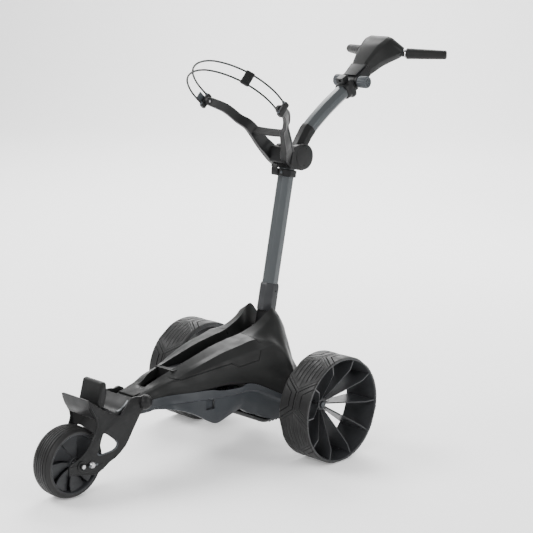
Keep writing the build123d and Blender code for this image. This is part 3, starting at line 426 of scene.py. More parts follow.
def rear_tyre(name, side):
    width = WHEEL_OUT - WHEEL_IN
    pitch = 2 * pi / LUG_COUNT
    rings = []
    for k in range(TREAD_ROUND):
        turn = 2 * pi * k / TREAD_ROUND
        u = ((turn - LUG_TURN + pitch / 2) % pitch - pitch / 2) * WHEEL_R
        ring = [(WHEEL_OUT - 0.4, BARREL + 0.6), (WHEEL_IN + 0.4, BARREL + 0.6)]
        for j in range(TREAD_ACROSS + 1):
            across = width * j / TREAD_ACROSS
            ring.append((WHEEL_IN + across, WHEEL_R - tread_depth(min(across, width - across), u)))
        rings += [Vector((side * x, AXLE.y - r * cos(turn), AXLE.z + r * sin(turn))) for x, r in ring]
    size = TREAD_ACROSS + 3
    tyre = piece(f"tyre_tread_{name}", rings, rings_faces(TREAD_ROUND, size, closed_rows=True), TYRE,
                 f"wheel_{name}", slot="tyre_rubber", angle=48)
    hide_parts(f"tyre_{name}")


def on_wheel(side, x, r, turn, aside=0.0):
    """A point r out from the rear axle at a turn up from its rear, and aside round from there."""
    return Vector((side * x, AXLE.y + r * cos(turn) - aside * sin(turn),
                   AXLE.z + r * sin(turn) + aside * cos(turn)))


FIN_OUTLINE = [(209, 14), (228, 14), (262, 62), (291, 104), (293, 107), (296.5, 135), (213, 127.4),
               (209, 60)]


def rear_rim(name, side):
    body = f"wheel_{name}"
    barrel = lathe(f"rim_barrel_{name}",
                   [(203.5, BARREL), (203.5, 129), (205, 127.4), (214, 126), (296, 133.2), (298.6, 134),
                    (299.7, 135.2), (299.7, 138.2), (298.4, 138.9), (297.2, 138.2), (297, BARREL)],
                   AXLE, RIM, body, side, steps=120, slot="rim_plastic", bevel=0.4, segments=2)
    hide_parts(f"rim_{name}")
    for k in range(FIN_COUNT):
        turn = 2 * pi * k / FIN_COUNT
        rings = []
        for aside in (-1.9, 1.9):
            rings.append([on_wheel(side, x, r, turn, aside * (1.5 if x < 215 else 1))
                          for x, r in FIN_OUTLINE])
        loft(f"rim_fin_{name}_{k}", rings, RIM, body, slot="rim_plastic", bevel=0.9, segments=3)
        # a slimmer web that braces each fin's foot against the barrel
        heel = [on_wheel(side, x, r, turn, aside) for x, r, aside in
                ((206, 22, -7), (226, 22, -3.2), (226, 22, 3.2), (206, 22, 7))]
        toe = [on_wheel(side, x, r, turn, aside) for x, r, aside in
               ((208, 58, -2.2), (216, 58, -2), (216, 58, 2), (208, 58, 2.2))]
        loft(f"rim_web_{name}_{k}", [heel, toe], RIM, body, slot="rim_plastic", bevel=0.8, segments=2)
    lathe(f"hub_{name}", [(205, 6.4), (205, 19), (207, 21.5), (221, 20), (224, 17), (227.4, 16),
                          (228, 15.2), (228, 9.4), (227, 8.4), (216, 8.4), (216, 6.4)],
          AXLE, RIM, body, side, steps=FIN_COUNT * 2, slot="rim_plastic", bevel=0.5, segments=2,
          angle=20)


for side_name, sign in SIDES:
    rear_tyre(side_name, sign)
    rear_rim(side_name, sign)

# ---------------------------------------------------------------- front wheel
FRONT_RIM_OUT = 76
FRONT_GROOVES = 7
BLADE_COUNT = 8


def front_tyre():
    profile = []
    steps = 104
    for k in range(steps + 1):
        x = -FRONT_HALF + 2 * FRONT_HALF * k / steps
        inset = abs(x) / FRONT_HALF
        r = FRONT_R - 9.5 * inset ** 3.4
        near = min(abs(x - i * 7.4) for i in range(-(FRONT_GROOVES // 2), FRONT_GROOVES // 2 + 1))
        profile.append((x, r - 2.6 * groove(near, 0.9)))
    profile += [(FRONT_HALF, 79), (FRONT_HALF - 0.8, FRONT_RIM_OUT), (-FRONT_HALF + 0.8, FRONT_RIM_OUT),
                (-FRONT_HALF, 79)]
    tyre = lathe("front_tyre_tread", profile, FRONT, TYRE, "front_wheel", steps=160,
                 slot="tyre_rubber", angle=50)
    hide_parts("front_tyre")


def on_front(x, r, turn, aside=0.0):
    return Vector((x, FRONT.y + r * cos(turn) - aside * sin(turn),
                   FRONT.z + r * sin(turn) + aside * cos(turn)))


def front_rim():
    rim = lathe("front_rim_barrel",
                [(-31.6, FRONT_RIM_OUT), (-31.6, 72.5), (-29, 70.5), (-10, 69), (10, 69), (29, 70.5),
                 (31.6, 72.5), (31.6, FRONT_RIM_OUT)],
                FRONT, RIM, "front_wheel", steps=96, slot="rim_plastic", bevel=0.8)
    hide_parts("front_rim")
    for k in range(BLADE_COUNT):
        turn = 2 * pi * k / BLADE_COUNT
        for x_sign in (1, -1):
            rings = []
            for r, spread, x_outer, twist in ((15, 6.2, 27, 0), (34, 14, 23, 0.08), (54, 21.8, 21.5, 0.16),
                                              (70.6, 27.5, 26, 0.2)):
                at = turn + x_sign * twist
                rings.append([on_front(x_sign * x, r, at, a) for x, a in
                              ((x_outer, -spread * 0.9), (x_outer - 8, spread * 0.98),
                               (x_outer - 11, spread * 0.98), (x_outer - 4, -spread * 0.9))])
            loft(f"front_blade_{k}_{'near' if x_sign > 0 else 'far'}", rings, RIM, "front_wheel",
                 slot="rim_plastic", bevel=1.1)
    lathe("front_web", [(-7, 14), (-4, 71.5), (4, 71.5), (7, 14)], FRONT, RIM, "front_wheel", steps=64,
          slot="rim_plastic", angle=30)
    lathe("front_hub", [(-30, 11.2), (-30, 15), (-28.5, 17), (28.5, 17), (30, 15), (30, 11.2)],
          FRONT, RIM, "front_wheel", steps=48, slot="rim_plastic", bevel=0.7)


front_tyre()
front_rim()


# ---------------------------------------------------------------- chassis surfaces
def hermite(p0, p1, m0, m1, f):
    f2, f3 = f * f, f * f * f
    return (p0 * (2 * f3 - 3 * f2 + 1) + m0 * (f3 - 2 * f2 + f) + p1 * (3 * f2 - 2 * f3)
            + m1 * (f3 - f2))


def slopes(ts, values, k):
    """The slope of a smooth line at its knot k."""
    if k == 0:
        return (values[1] - values[0]) / (ts[1] - ts[0])
    if k == len(ts) - 1:
        return (values[-1] - values[-2]) / (ts[-1] - ts[-2])
    return (values[k + 1] - values[k - 1]) / (ts[k + 1] - ts[k - 1])


def along_y(stations, y):
    """The section at y, from stations [(y, [(x, z), ...])] joined by smooth lines."""
    ts = [s[0] for s in stations]
    k = max(i for i, t in enumerate(ts) if t <= y or i == 0)
    k = min(k, len(ts) - 2)
    span = ts[k + 1] - ts[k]
    f = (y - ts[k]) / span
    section = []
    for j in range(len(stations[0][1])):
        point = []
        for axis in (0, 1):
            values = [s[1][j][axis] for s in stations]
            point.append(hermite(values[k], values[k + 1], slopes(ts, values, k) * span,
                                 slopes(ts, values, k + 1) * span, f))
        section.append(tuple(point))
    return section


def dressed(section, corners, steps):
    """A section's points joined by smooth lines, which turn sharply at the corners."""
    points = [Vector((x, z)) for x, z in section]
    line = []
    for k in range(len(points) - 1):
        here, there = points[k], points[k + 1]
        run = there - here
        m0 = run if k in corners or k == 0 else (there - points[k - 1]) / 2
        m1 = run if k + 1 in corners or k + 2 == len(points) else (points[k + 2] - here) / 2
        scale = run.length
        m0 = m0.normalized() * scale if m0.length else run
        m1 = m1.normalized() * scale if m1.length else run
        for j in range(steps):
            line.append(hermite(here, there, m0, m1, j / steps))
    line.append(points[-1])
    return line


def span_values(first, last, step):
    count = max(1, round((last - first) / step))
    return [first + (last - first) * k / count for k in range(count + 1)]


def skin_grid(name, stations, corners, mat, body, y_from, y_to, step=7, steps=5, mirror=False,
              thickness=3, **style):
    """A sheet across smooth stations; mirror joins it to its mirror image at the middle."""
    ys = span_values(y_from, y_to, step)
    verts, size = [], 0
    for y in ys:
        line = dressed(along_y(stations, y), corners, steps)
        ring = [(p.x, y, p.y) for p in line]
        if mirror:
            ring = ring + [(-x, yy, z) for x, yy, z in reversed(ring)]
        size = len(ring)
        verts += ring
    faces = [(r * size + c, r * size + c + 1, (r + 1) * size + c + 1, (r + 1) * size + c)
             for r in range(len(ys) - 1) for c in range(size - 1)]
    return piece(name, verts, faces, mat, body, thickness=thickness, **style)


def baked(made):
    """The piece with its modifiers applied."""
    graph = bpy.context.evaluated_depsgraph_get()
    mesh = bpy.data.meshes.new_from_object(made.evaluated_get(graph))
    made.modifiers.clear()
    made.data = mesh
    return made


def cut(made, cutters):
    """Take the cutters, closed meshes given as (verts, faces), out of a piece."""
    for verts, faces in cutters:
        mesh = bpy.data.meshes.new("cutter")
        mesh.from_pydata([tuple(Vector(v) * MM) for v in verts], [], faces)
        shape = bmesh.new()
        shape.from_mesh(mesh)
        bmesh.ops.recalc_face_normals(shape, faces=shape.faces)
        shape.to_mesh(mesh)
        shape.free()
        tool = bpy.data.objects.new("cutter", mesh)
        bpy.context.collection.objects.link(tool)
        taking = made.modifiers.new("cut", "BOOLEAN")
        taking.operation = "DIFFERENCE"
        taking.solver = "EXACT"
        taking.object = tool
        baked(made)
        bpy.data.objects.remove(tool)
    for polygon in made.data.polygons:
        polygon.use_smooth = True
    return made


def crisp(made, angle=30):
    """Mark the sharp edges of a mesh that has been cut, so that its faces shade cleanly."""
    shape = bmesh.new()
    shape.from_mesh(made.data)
    for edge in shape.edges:
        edge.smooth = len(edge.link_faces) != 2 or edge.calc_face_angle(0) < radians(angle)
    shape.to_mesh(made.data)
    shape.free()
    return made


def side_strip(route, width, x_from, x_to):
    """A thin closed wall across X along a (y, z) route, for a gap between panels."""
    lefts, rights = [], []
    for k, point in enumerate(route):
        before = Vector(route[max(k - 1, 0)])
        after = Vector(route[min(k + 1, len(route) - 1)])
        run = (after - before).normalized()
        normal = Vector((-run.y, run.x))
        lefts.append(Vector(point) + normal * width / 2)
        rights.append(Vector(point) - normal * width / 2)
    outline = lefts + rights[::-1]
    count = len(outline)
    verts = [(x, p.x, p.y) for x in (x_from, x_to) for p in outline]
    faces = []
    half = len(route)
    for k in range(half - 1):
        quad = (k, k + 1, count - 2 - k, count - 1 - k)
        faces.append(quad)
        faces.append(tuple(count + i for i in reversed(quad)))
    for k in range(count):
        j = (k + 1) % count
        faces.append((k, count + k, count + j, j))
    return verts, faces


# Each station: trench wall foot, rail's inner edge, rail's outer edge, two ridges, widest, lower edge.
COVER_STATIONS = [
    (-400, [(0, 214), (16, 214), (28, 213.5), (33, 212), (37, 211), (41, 209), (40, 205)]),
    (-372, [(0, 222), (17, 222), (29, 221), (35, 219), (39, 217), (44, 212), (42, 205.5)]),
    (-345, [(0, 229), (17, 230), (31, 229), (38, 226), (42, 223), (47, 214), (45, 206.5)]),
    (-325, [(10, 224), (14, 236), (33, 234), (41, 230), (44, 227), (49, 216), (47, 207)]),
    (-290, [(20, 232), (22, 252), (38, 245), (48, 241), (52, 238), (58, 220), (54, 207.5)]),
    (-236, [(25, 240), (23, 268), (42, 259), (53, 253), (61, 247), (72, 226), (68, 206)]),
    (-174, [(26, 246), (24, 285), (48, 276), (62, 274), (76, 260), (86, 229), (82, 209)]),
    (-116, [(26, 252), (24, 300), (52, 293), (69, 291), (86, 271), (97, 231), (93, 212)]),
    (-60, [(26, 262), (25, 310), (54, 306), (74, 301), (94, 281), (107, 232), (104, 206)]),
    (-18, [(28, 272), (27, 316), (56, 313), (79, 309), (102, 287), (116, 233), (112, 194)]),
    (15, [(32, 278), (30, 326), (60, 318), (86, 306), (107, 286), (124, 226), (121, 176)]),
    (45, [(34, 284), (33, 338), (60, 330), (103, 294), (108, 288), (134, 211), (133, 152)]),
    (66, [(35, 286), (36, 352), (60, 342), (119, 268), (123, 260), (143, 200), (139, 143)]),
    (80, [(36, 288), (40, 364), (62, 352), (130, 243), (135, 234), (147, 193), (146, 134)]),
    (100, [(36, 290), (42, 371), (60, 355), (104, 262), (122, 228), (149, 190), (152, 131)]),
    (126, [(36, 280), (42, 345), (54, 330), (76, 285), (96, 236), (140, 180), (150, 130)]),
    (148, [(34, 262), (40, 306), (46, 300), (58, 262), (74, 212), (130, 165), (140, 129)]),
    (168, [(0, 236), (24, 242), (38, 236), (46, 215), (56, 200), (120, 150), (134, 130)]),
    (181, [(0, 204), (20, 205), (34, 203), (44, 190), (52, 178), (110, 146), (128, 130)]),
]
COVER_CORNERS = (1, 2, 3, 4)
COVER_FROM = COVER_STATIONS[0][0]
COVER_TO = COVER_STATIONS[-1][0]
COVER_WALL = 3.5
FLANK_GAP = [(-288, 252), (-276, 248), (-253, 242), (-161, 257), (-103, 264), (-82, 252), (-21, 261),
             (-8, 287)]
RAIL_GAP = [(-16, 330), (2, 300)]
GAP_WIDTH = 1.5


def chassis_cover():
    cover = skin_grid("cover_shell", COVER_STATIONS, COVER_CORNERS, COVER, "chassis", COVER_FROM,
                      COVER_TO, step=6, steps=5, mirror=True, angle=30)
    baked(cover)
    gaps = []
    for out in (1, -1):
        gaps.append(side_strip(FLANK_GAP, GAP_WIDTH, *sorted((out * 38, out * 190))))
        gaps.append(side_strip(RAIL_GAP, GAP_WIDTH, *sorted((out * 22, out * 92))))
    cut(cover, gaps)
    crisp(cover)
    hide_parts("chassis_cover")
    inner = [(y, [(x + COVER_WALL if k < 2 and x > 9 else max(0, x - COVER_WALL), z - COVER_WALL) for k,
                  (x, z) in enumerate(row)])
             for y, row in COVER_STATIONS]
    # The cover's inner skin is darker than the cover: painted shade.
    skin_grid("cover_lining", inner, COVER_CORNERS, SHADE_BLACK, "chassis", COVER_FROM + 4, COVER_TO - 5, step=14,
              steps=3, mirror=True, thickness=1.5, slot="cover_black", angle=40)


chassis_cover()

# ---------------------------------------------------------------- tray under the cover
# Each station: top edge, foot of the raised band along it, step under the band, middle, lower edge, lip.
TRAY_STATIONS = [
    (-386, [(39, 203), (40.5, 186), (38, 185), (38, 182), (38, 177), (30, 176)]),
    (-350, [(40, 204), (41, 187), (39.5, 186), (39.5, 182), (41, 177), (30, 177)]),
    (-325, [(42, 205), (42.5, 187), (41, 186), (41, 182), (40.5, 178), (30, 177)]),
    (-290, [(53, 206), (66, 190), (63, 188.5), (68, 183), (72, 177), (58, 178)]),
    (-225, [(69, 205), (76, 186), (72.5, 184), (76, 168), (78, 152), (66, 153)]),
    (-165, [(82, 203), (87, 184), (83, 181), (83, 148), (80, 118), (68, 120)]),
    (-142, [(87, 198), (90, 184), (86, 181), (84, 142), (79, 112), (67, 114)]),
    (-100, [(96, 196), (99, 185), (94.5, 181.5), (88, 148), (80, 124), (68, 126)]),
    (-74, [(101, 198), (104, 187), (98.5, 183), (90, 152), (80, 131), (68, 132)]),
    (-60, [(104, 204), (106, 188), (100.5, 184), (91, 154), (81, 133), (68, 134)]),
    (-30, [(111, 198), (112, 184), (106, 179), (94, 142), (82, 116), (69, 116)]),
    (0, [(119, 184), (119, 170), (112, 164), (99, 130), (84, 104), (70, 104)]),
    (45, [(133, 160), (132, 148), (125, 141), (112, 112), (98, 86), (80, 84)]),
    (95, [(149, 130), (147, 121), (140, 115), (127, 100), (112, 86), (92, 84)]),
    (150, [(143, 127), (141, 119), (135, 114), (120, 100), (106, 87), (88, 86)]),
]
TRAY_CORNERS = (1, 2, 4)
TRAY_FROM = TRAY_STATIONS[0][0]
TRAY_TO = TRAY_STATIONS[-1][0]
TRAY_WALL = 3.2
RECESS_AT = (0, -174, 166)
SCREW_PLACES = [(-250, 190), (-190, 180), (-130, 172), (-20, 165), (50, 130)]


def tray_half(y, z):
    """Half width of the tray's outer skin at a place on its side."""
    section = along_y(TRAY_STATIONS, y)
    for (x_high, z_high), (x_low, z_low) in zip(section, section[1:]):
        if z_low <= z <= z_high:
            return x_low + (x_high - x_low) * (z - z_low) / (z_high - z_low)
    return section[0][0]


def chassis_tray():
    for name, out in SIDES:
        stations = [(y, [(out * x, z) for x, z in row]) for y, row in TRAY_STATIONS]
        flank = skin_grid(f"tray_flank_{name}", stations, TRAY_CORNERS, TRAY, "chassis", TRAY_FROM, TRAY_TO,
                          step=7, steps=4, thickness=-out * TRAY_WALL, angle=32)
        baked(flank)
        half = tray_half(-174, 165)
        recess = placed(rounded(30, 26, 5), RECESS_AT, Y, Z)
        inner = [p + X * out * (half - 3) for p in recess]
        outer = [p + X * out * (half + 20) for p in recess]
        cut(flank, [(inner + outer, rings_faces(2, len(recess)))])
        crisp(flank, 32)
        floor = [p + X * out * (half - 2.4) for p in placed(rounded(25, 21, 4), RECESS_AT, Y, Z)]
        back = [p - X * out * 2 for p in floor]
        loft(f"tray_recess_{name}", [floor, back], TRAY, "chassis", slot="tray_grey", bevel=0.6)
        for k, (y, z) in enumerate(SCREW_PLACES):
            head = tray_half(y, z)
            screw = spun(f"tray_screw_{name}_{k}", [(-4, 0.01), (-4, 3), (0.4, 3.4), (1, 2.8), (1, 1.4),
                                                    (-1, 1.2),
                                                    (-1, 0.01)],
                         (out * head, y, z), (out, 0, 0), STEEL, "chassis", steps=16, slot="steel",
                         angle=30)
            if name == "left" and k == 0:
                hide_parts("tray_screws")
    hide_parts("chassis_tray")
    # floor under the axle
    loft("tray_floor", [placed(rounded(206, 84, 8), (0, 108, z), X, Y) for z in (84.5, 88.5)],
         TRAY, "chassis", slot="tray_grey", bevel=1)


def whole(half):
    """A half outline and its mirror image, as one closed outline."""
    return half + [(-x, y) for x, y in reversed(half)]


REAR_IN = 173
REAR_OUT = 178


def rear_panel():
    """The wall that closes the back of the cover and tray, with its cooling louvres."""
    half = [(104, 89), (138, 127), (118, 146), (52, 178), (36, 203), (18, 205)]
    outline = whole(half)
    rings = [[(x, y, z) for x, z in outline] for y in (REAR_IN, REAR_OUT)]
    loft("rear_wall", rings, BLACK, "chassis", slot="cover_black", bevel=1.5)
    floor = [(106, 147), (106, 176), (-106, 176), (-106, 147)]
    loft("rear_sill", [[(x, y, z) for x, y in floor] for z in (87, 92)], BLACK, "chassis",
         slot="cover_black",
         bevel=1)
    for k in range(6):
        z = 100 + 9 * k
        slat = [(REAR_OUT, z), (REAR_OUT + 3.5, z + 1), (REAR_OUT + 3.5, z + 2.4), (REAR_OUT, z + 4.6)]
        prism(f"rear_louvre_{k}", slat, -62 + 4 * k, 62 - 4 * k, BLACK, "chassis", slot="cover_black",
              bevel=0.5)
    for name, out in SIDES:
        for k, (x, z) in enumerate(((112, 118), (84, 98), (84, 150))):
            spun(f"rear_screw_{name}_{k}", [(-2, 0.01), (-2, 3.4), (1.2, 3), (1.2, 1.4), (0, 1.2),
                                            (0, 0.01)],
                 (out * x, REAR_OUT, z), Y, STEEL, "chassis", steps=16, slot="steel", angle=30)


def motor_cover():
    """The bulge under the motors, with cooling ribs along its flanks."""
    sections = [(84, 100, 26, 150), (78, 93, 28, 148.5), (70, 80, 34, 144), (65, 68, 48, 136),
                (63, 60, 60, 132)]
    rings = [placed(rounded(2 * half, high - low, 12, 6, (0, (low + high) / 2)), (0, 0, z), X, Y)
             for z, half, low, high in sections]
    bulge = loft("motor_bulge", rings, BLACK, "chassis", slot="black_plastic", bevel=1.2, angle=50)
    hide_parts("motor_cover")
    for out in (1, -1):
        for k in range(7):
            y = 52 + 13 * k
            rib = placed(rounded(5, 16, 2), (out * 88, y, 76), Y, (out * 0.75, 0, 0.66))
            raised = [p + Vector((out * 0.66, 0, -0.75)) * 2.2 for p in rib]
            loft(f"motor_rib_{'left' if out > 0 else 'right'}_{k}", [rib, raised], BLACK, "chassis",
                 slot="black_plastic", bevel=0.6)


def nose():
    """The block round the fork's pivot, and the pivot's domed caps."""
    outline = [(-388, 190), (-345, 186), (-330, 228), (-388, 222)]
    # The nose block under the cover is darker than its black plastic: painted shade.
    block = prism("nose_core", outline, -28, 28, SHADE_BLACK, "chassis", slot="black_plastic", bevel=2)
    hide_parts("nose_block")
    cap_r, cap_h, foot = 19, 13, 55
    ball = (cap_r ** 2 + cap_h ** 2) / (2 * cap_h)
    dome = [(foot + cap_h - ball + ball * cos(a), ball * sin(a))
            for a in [k / 12 * 0.999 * atan2(cap_r, ball - cap_h) for k in range(12, -1, -1)]]
    dome[-1] = (foot + cap_h, 0.01)
    profile = [(foot - 2.5, 0.01), (foot - 2.5, 17), (foot - 0.5, 19)] + dome
    for name, out in SIDES:
        cap = spun(f"pivot_cap_{name}", profile, PIVOT, (out, 0, 0), BLACK, "chassis", steps=56,
                   slot="black_plastic", angle=50)
        if out > 0:
            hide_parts("fork_pivot_pin")
    spun("pivot_shaft", [(-52, 0.01), (-52, 5), (52, 5), (52, 0.01)], PIVOT, X, STEEL, "chassis", steps=24,
         slot="steel")


BATTERY_WIDE = 44          # narrower than its CAD node, which fills the trench


def battery():
    low, high = corners("battery_case")
    mid = (low + high) / 2
    width = BATTERY_WIDE
    length = high.y - low.y
    sections = [(low.z, width - 3, length - 3), (low.z + 2, width, length), (high.z - 3, width, length),
                (high.z, width - 4, length - 4)]
    case = loft("battery_shell", [placed(rounded(w, d, 6), (mid.x, mid.y, z), X, Y)
                                  for z, w, d in sections], BATTERY, "battery", slot="battery", bevel=0.8)
    baked(case)
    well = [placed(rounded(32, 110, 4), (mid.x, mid.y, z), X, Y) for z in (high.z - 8, high.z + 3)]
    cut(case, [(well[0] + well[1], rings_faces(2, len(well[0])))])
    crisp(case, 30)
    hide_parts("battery_case")
    hold_low, hold_high = corners("battery_handle")
    outer = rounded(28, hold_high.y - hold_low.y - 4, 5)
    centre = (hold_low + hold_high) / 2
    inner = rounded(17, 64, 4)
    rings = []
    for outline, z in ((outer, -2.4), (outer, 2.4), (inner, 2.4), (inner, -2.4)):
        rings.append(placed(outline, (centre.x, centre.y, centre.z + z), X, Y))
    verts = [v for ring in rings for v in ring]
    loop = piece("battery_loop", verts, rings_faces(4, len(outer), closed_rows=True), GREY, "battery_grab",
                 slot="grey_plastic", bevel=0.9)
    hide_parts("battery_handle")


chassis_tray()
rear_panel()
motor_cover()
nose()
battery()


# ---------------------------------------------------------------- sweeps used by the frame's smaller parts
PIN_BORE = 5.5
PIN_STEPS = 24


def swept(name, path, outline, mat, body, x_dir=(1, 0, 0), sizes=None, **style):
    """An outline carried along a path of points, kept square to it, scaled by one size per point."""
    rings = []
    x_dir = Vector(x_dir)
    for k, point in enumerate(path):
        ahead = (Vector(path[min(k + 1, len(path) - 1)]) - Vector(path[max(k - 1, 0)])).normalized()
        across = (x_dir - ahead * x_dir.dot(ahead)).normalized()
        up = ahead.cross(across)
        wide, tall = sizes[k] if sizes else (1, 1)
        rings.append([Vector(point) + across * a * wide + up * b * tall for a, b in outline])
    return loft(name, rings, mat, body, **style)


def circle(radius, steps=16):
    return [(radius * cos(2 * pi * k / steps), radius * sin(2 * pi * k / steps)) for k in range(steps)]


def eased(points, per_run=6, closed=False):
    """A smooth line through points of any size."""
    count = len(points)
    line = []
    for k in range(count if closed else count - 1):
        around = [points[(k + j) % count] if closed else points[min(max(k + j, 0), count - 1)]
                  for j in (-1, 0, 1, 2)]
        for j in range(per_run):
            f = j / per_run
            weights = (-0.5 * f + f ** 2 - 0.5 * f ** 3, 1 - 2.5 * f ** 2 + 1.5 * f ** 3,
                       0.5 * f + 2 * f ** 2 - 1.5 * f ** 3, -0.5 * f ** 2 + 0.5 * f ** 3)
            line.append(tuple(sum(w * p[axis] for w, p in zip(weights, around))
                              for axis in range(len(points[0]))))
    if not closed:
        line.append(tuple(points[-1]))
    return line


def turned(centre, radius, steps=PIN_STEPS):
    """The points of a circle in (y, z)."""
    return [(centre[0] + radius * cos(2 * pi * k / steps), centre[1] + radius * sin(2 * pi * k / steps))
            for k in range(steps)]


# ---------------------------------------------------------------- front fork
PLATE_IN = 47
PLATE_OUT = 52
HOOK = [(-551, 247), (-548, 234), (-541, 217), (-528, 195), (-525, 180), (-530, 163), (-541, 144),
        (-556, 126), (-574, 112), (-592, 103), (-606, 99), (-611, 92), (-611, 80), (-604, 73)]
PLATE_REST = [(-588, 69), (-572, 65), (-548, 60), (-524, 57), (-503, 67), (-483, 79), (-467, 84),
              (-449, 95), (-434, 107), (-422, 122), (-412, 139), (-400, 157), (-390, 172), (-381, 186),
              (-366, 187), (-352, 196), (-349, 208), (-355, 221), (-369, 227), (-384, 224), (-400, 227),
              (-415, 227), (-432, 208), (-451, 190), (-468, 194), (-486, 203), (-507, 216), (-527, 230),
              (-539, 240)]
WINDOW = [(-500, 155), (-467, 130), (-460, 117), (-471, 107), (-497, 104), (-522, 106), (-515, 129),
          (-509, 147)]


def front_fork():
    outline = HOOK + PLATE_REST
    window = eased(WINDOW, 4, closed=True)
    for name, out in SIDES:
        low, high = sorted((out * PLATE_IN, out * PLATE_OUT))
        plate = prism(f"fork_plate_{name}", outline, low, high, BLACK, "front_fork", bevel=1.1)
        baked(plate)
        hole = [[(x, y, z) for y, z in window] for x in (out * (PLATE_IN - 4), out * (PLATE_OUT + 4))]
        bore = [[(x, y, z) for y, z in turned((PIVOT.y, PIVOT.z), PIN_BORE)]
                for x in (out * (PLATE_IN - 4), out * (PLATE_OUT + 4))]
        cut(plate, [(hole[0] + hole[1], rings_faces(2, len(window))),
                    (bore[0] + bore[1], rings_faces(2, PIN_STEPS))])
        crisp(plate)
        bead = [(out * (PLATE_OUT - 0.6), y + 2.2, z + 1) for y, z in eased(HOOK[1:], 3)]
        swept(f"fork_bead_{name}", bead, circle(2.1, 10), BLACK, "front_fork", slot="black_plastic")
        lip = [(out * (PLATE_OUT - 0.4), y, z) for y, z in window[2 * 4 - 4:7 * 4 - 6]]
        swept(f"fork_window_lip_{name}", lip, circle(1.9, 10), GREY, "front_fork", slot="grey_plastic")
        arm = [(out * 50.5, y, z) for y, z in ((-612, 84), (-590, 84), (-560, 79), (-530, 72), (-505, 74))]
        swept(f"fork_arm_{name}", eased(arm, 4), rounded(5, 22, 2, 3), BLACK, "front_fork",
              sizes=[(1, 1 - 0.25 * k / 16) for k in range(17)], slot="black_plastic", bevel=0.4)
        spun(f"fork_boss_{name}", [(50, 5.2), (50, 13), (54.5, 13), (55.5, 12), (55.5, 8.5), (54.6, 8),
                                   (54.6, 5.2)],
             FRONT, (out, 0, 0), BLACK, "front_fork", steps=36, slot="black_plastic", angle=30)
        spun(f"axle_screw_{name}", [(54.8, 0.01), (54.8, 6.6), (58, 6.2), (58.8, 5), (58.8, 2.6), (57, 2.4),
                                    (57, 0.01)],
             FRONT, (out, 0, 0), BLACK, "front_fork", steps=24, slot="steel", angle=30)
        mark = placed(rounded(4.4, 7, 0.8), FRONT + X * out * 58.2, Y, Z)
        loft(f"axle_mark_{name}", [mark, [p + X * out * 1.1 for p in mark]], CHROME, "front_fork",
             slot="steel",
             bevel=0.3)
        spun(f"pivot_ring_{name}", [(52, 6), (52, 19), (53.6, 18.4), (53.6, 6)], PIVOT, (out, 0, 0), BLACK,
             "front_fork", steps=48, slot="black_plastic", angle=30)
    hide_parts("fork")
    flange = [(-551, 247), (-546, 224), (-537, 208), (-528, 195), (-523, 197), (-532, 211), (-541, 227),
              (-546, 247)]
    prism("fork_flange", flange, -PLATE_IN - 1, PLATE_IN + 1, BLACK, "front_fork", slot="black_plastic",
          bevel=1.2)
    for x in (-30, -15, 0, 15, 30):
        rib = [(-541, 240), (-537, 222), (-526, 203), (-520, 205), (-530, 226)]
        prism(f"flange_rib_{x + 30}", rib, x - 1.4, x + 1.4, BLACK, "front_fork", slot="black_plastic",
              bevel=0.6)
    tie = [(-500, 192), (-452, 180), (-412, 200), (-412, 206), (-452, 187), (-500, 199)]
    prism("fork_tie", tie, -PLATE_IN - 1, PLATE_IN + 1, BLACK, "front_fork", slot="black_plastic", bevel=1)


def stop_block():
    outline = [(-497, 277), (-485, 279), (-481, 272), (-480, 250), (-488, 216), (-500, 208), (-510, 226),
               (-504, 250)]
    shell = prism("stop_pad", outline, -36, 36, COVER, "front_fork", slot="grey_plastic", bevel=4,
                  segments=5)
    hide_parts("stop_block")
    for name, out in SIDES:
        cheek = [(-493, 270), (-486, 271), (-487, 240), (-494, 222), (-502, 230), (-499, 252)]
        low, high = sorted((out * 35.5, out * 36.6))
        prism(f"stop_cheek_{name}", cheek, low, high, BLACK, "front_fork", slot="black_plastic", bevel=0.5)


def saddle():
    """Padded saddle: a scooped top, a lighter strip along each side of the scoop's near end as a painted
    highlight, and a near-black plate on each side as painted shade in a notch.
    """
    scoop = []
    for k in range(13):
        f = k / 12
        y = -412 - 76 * f
        scoop.append((y, 226 - 11 * f - 22 * sin(pi * f) ** 0.9))
    outline = [(-500, 199.5), (-452, 187.5), (-412, 206.5)] + scoop + [(-500, 207)]
    pad = prism("saddle_pad", outline, -46.3, 46.3, BLACK, "front_fork", slot="black_plastic", bevel=2.2,
                segments=4)
    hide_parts("bag_saddle")
    for name, out in SIDES:
        # A lighter strip along each side of the scoop's near end: painted highlight.
        path = [(out * 42.6, y, z + 0.8) for y, z in scoop[1:8]]
        swept(f"saddle_highlight_band_{name}", path, rounded(6.5, 3, 1.2, 3), TUBE, "front_fork",
              slot="black_plastic",
              bevel=0.3)
        # A flat near-black plate on each side: painted shade where a notch would be.
        notch = [(-446, 197), (-424, 203), (-424, 213), (-438, 206)]
        low, high = sorted((out * 46, out * 47.4))
        prism(f"saddle_notch_shade_{name}", notch, low, high, SHADE_BLACK, "front_fork", slot="black_plastic", bevel=0.5)


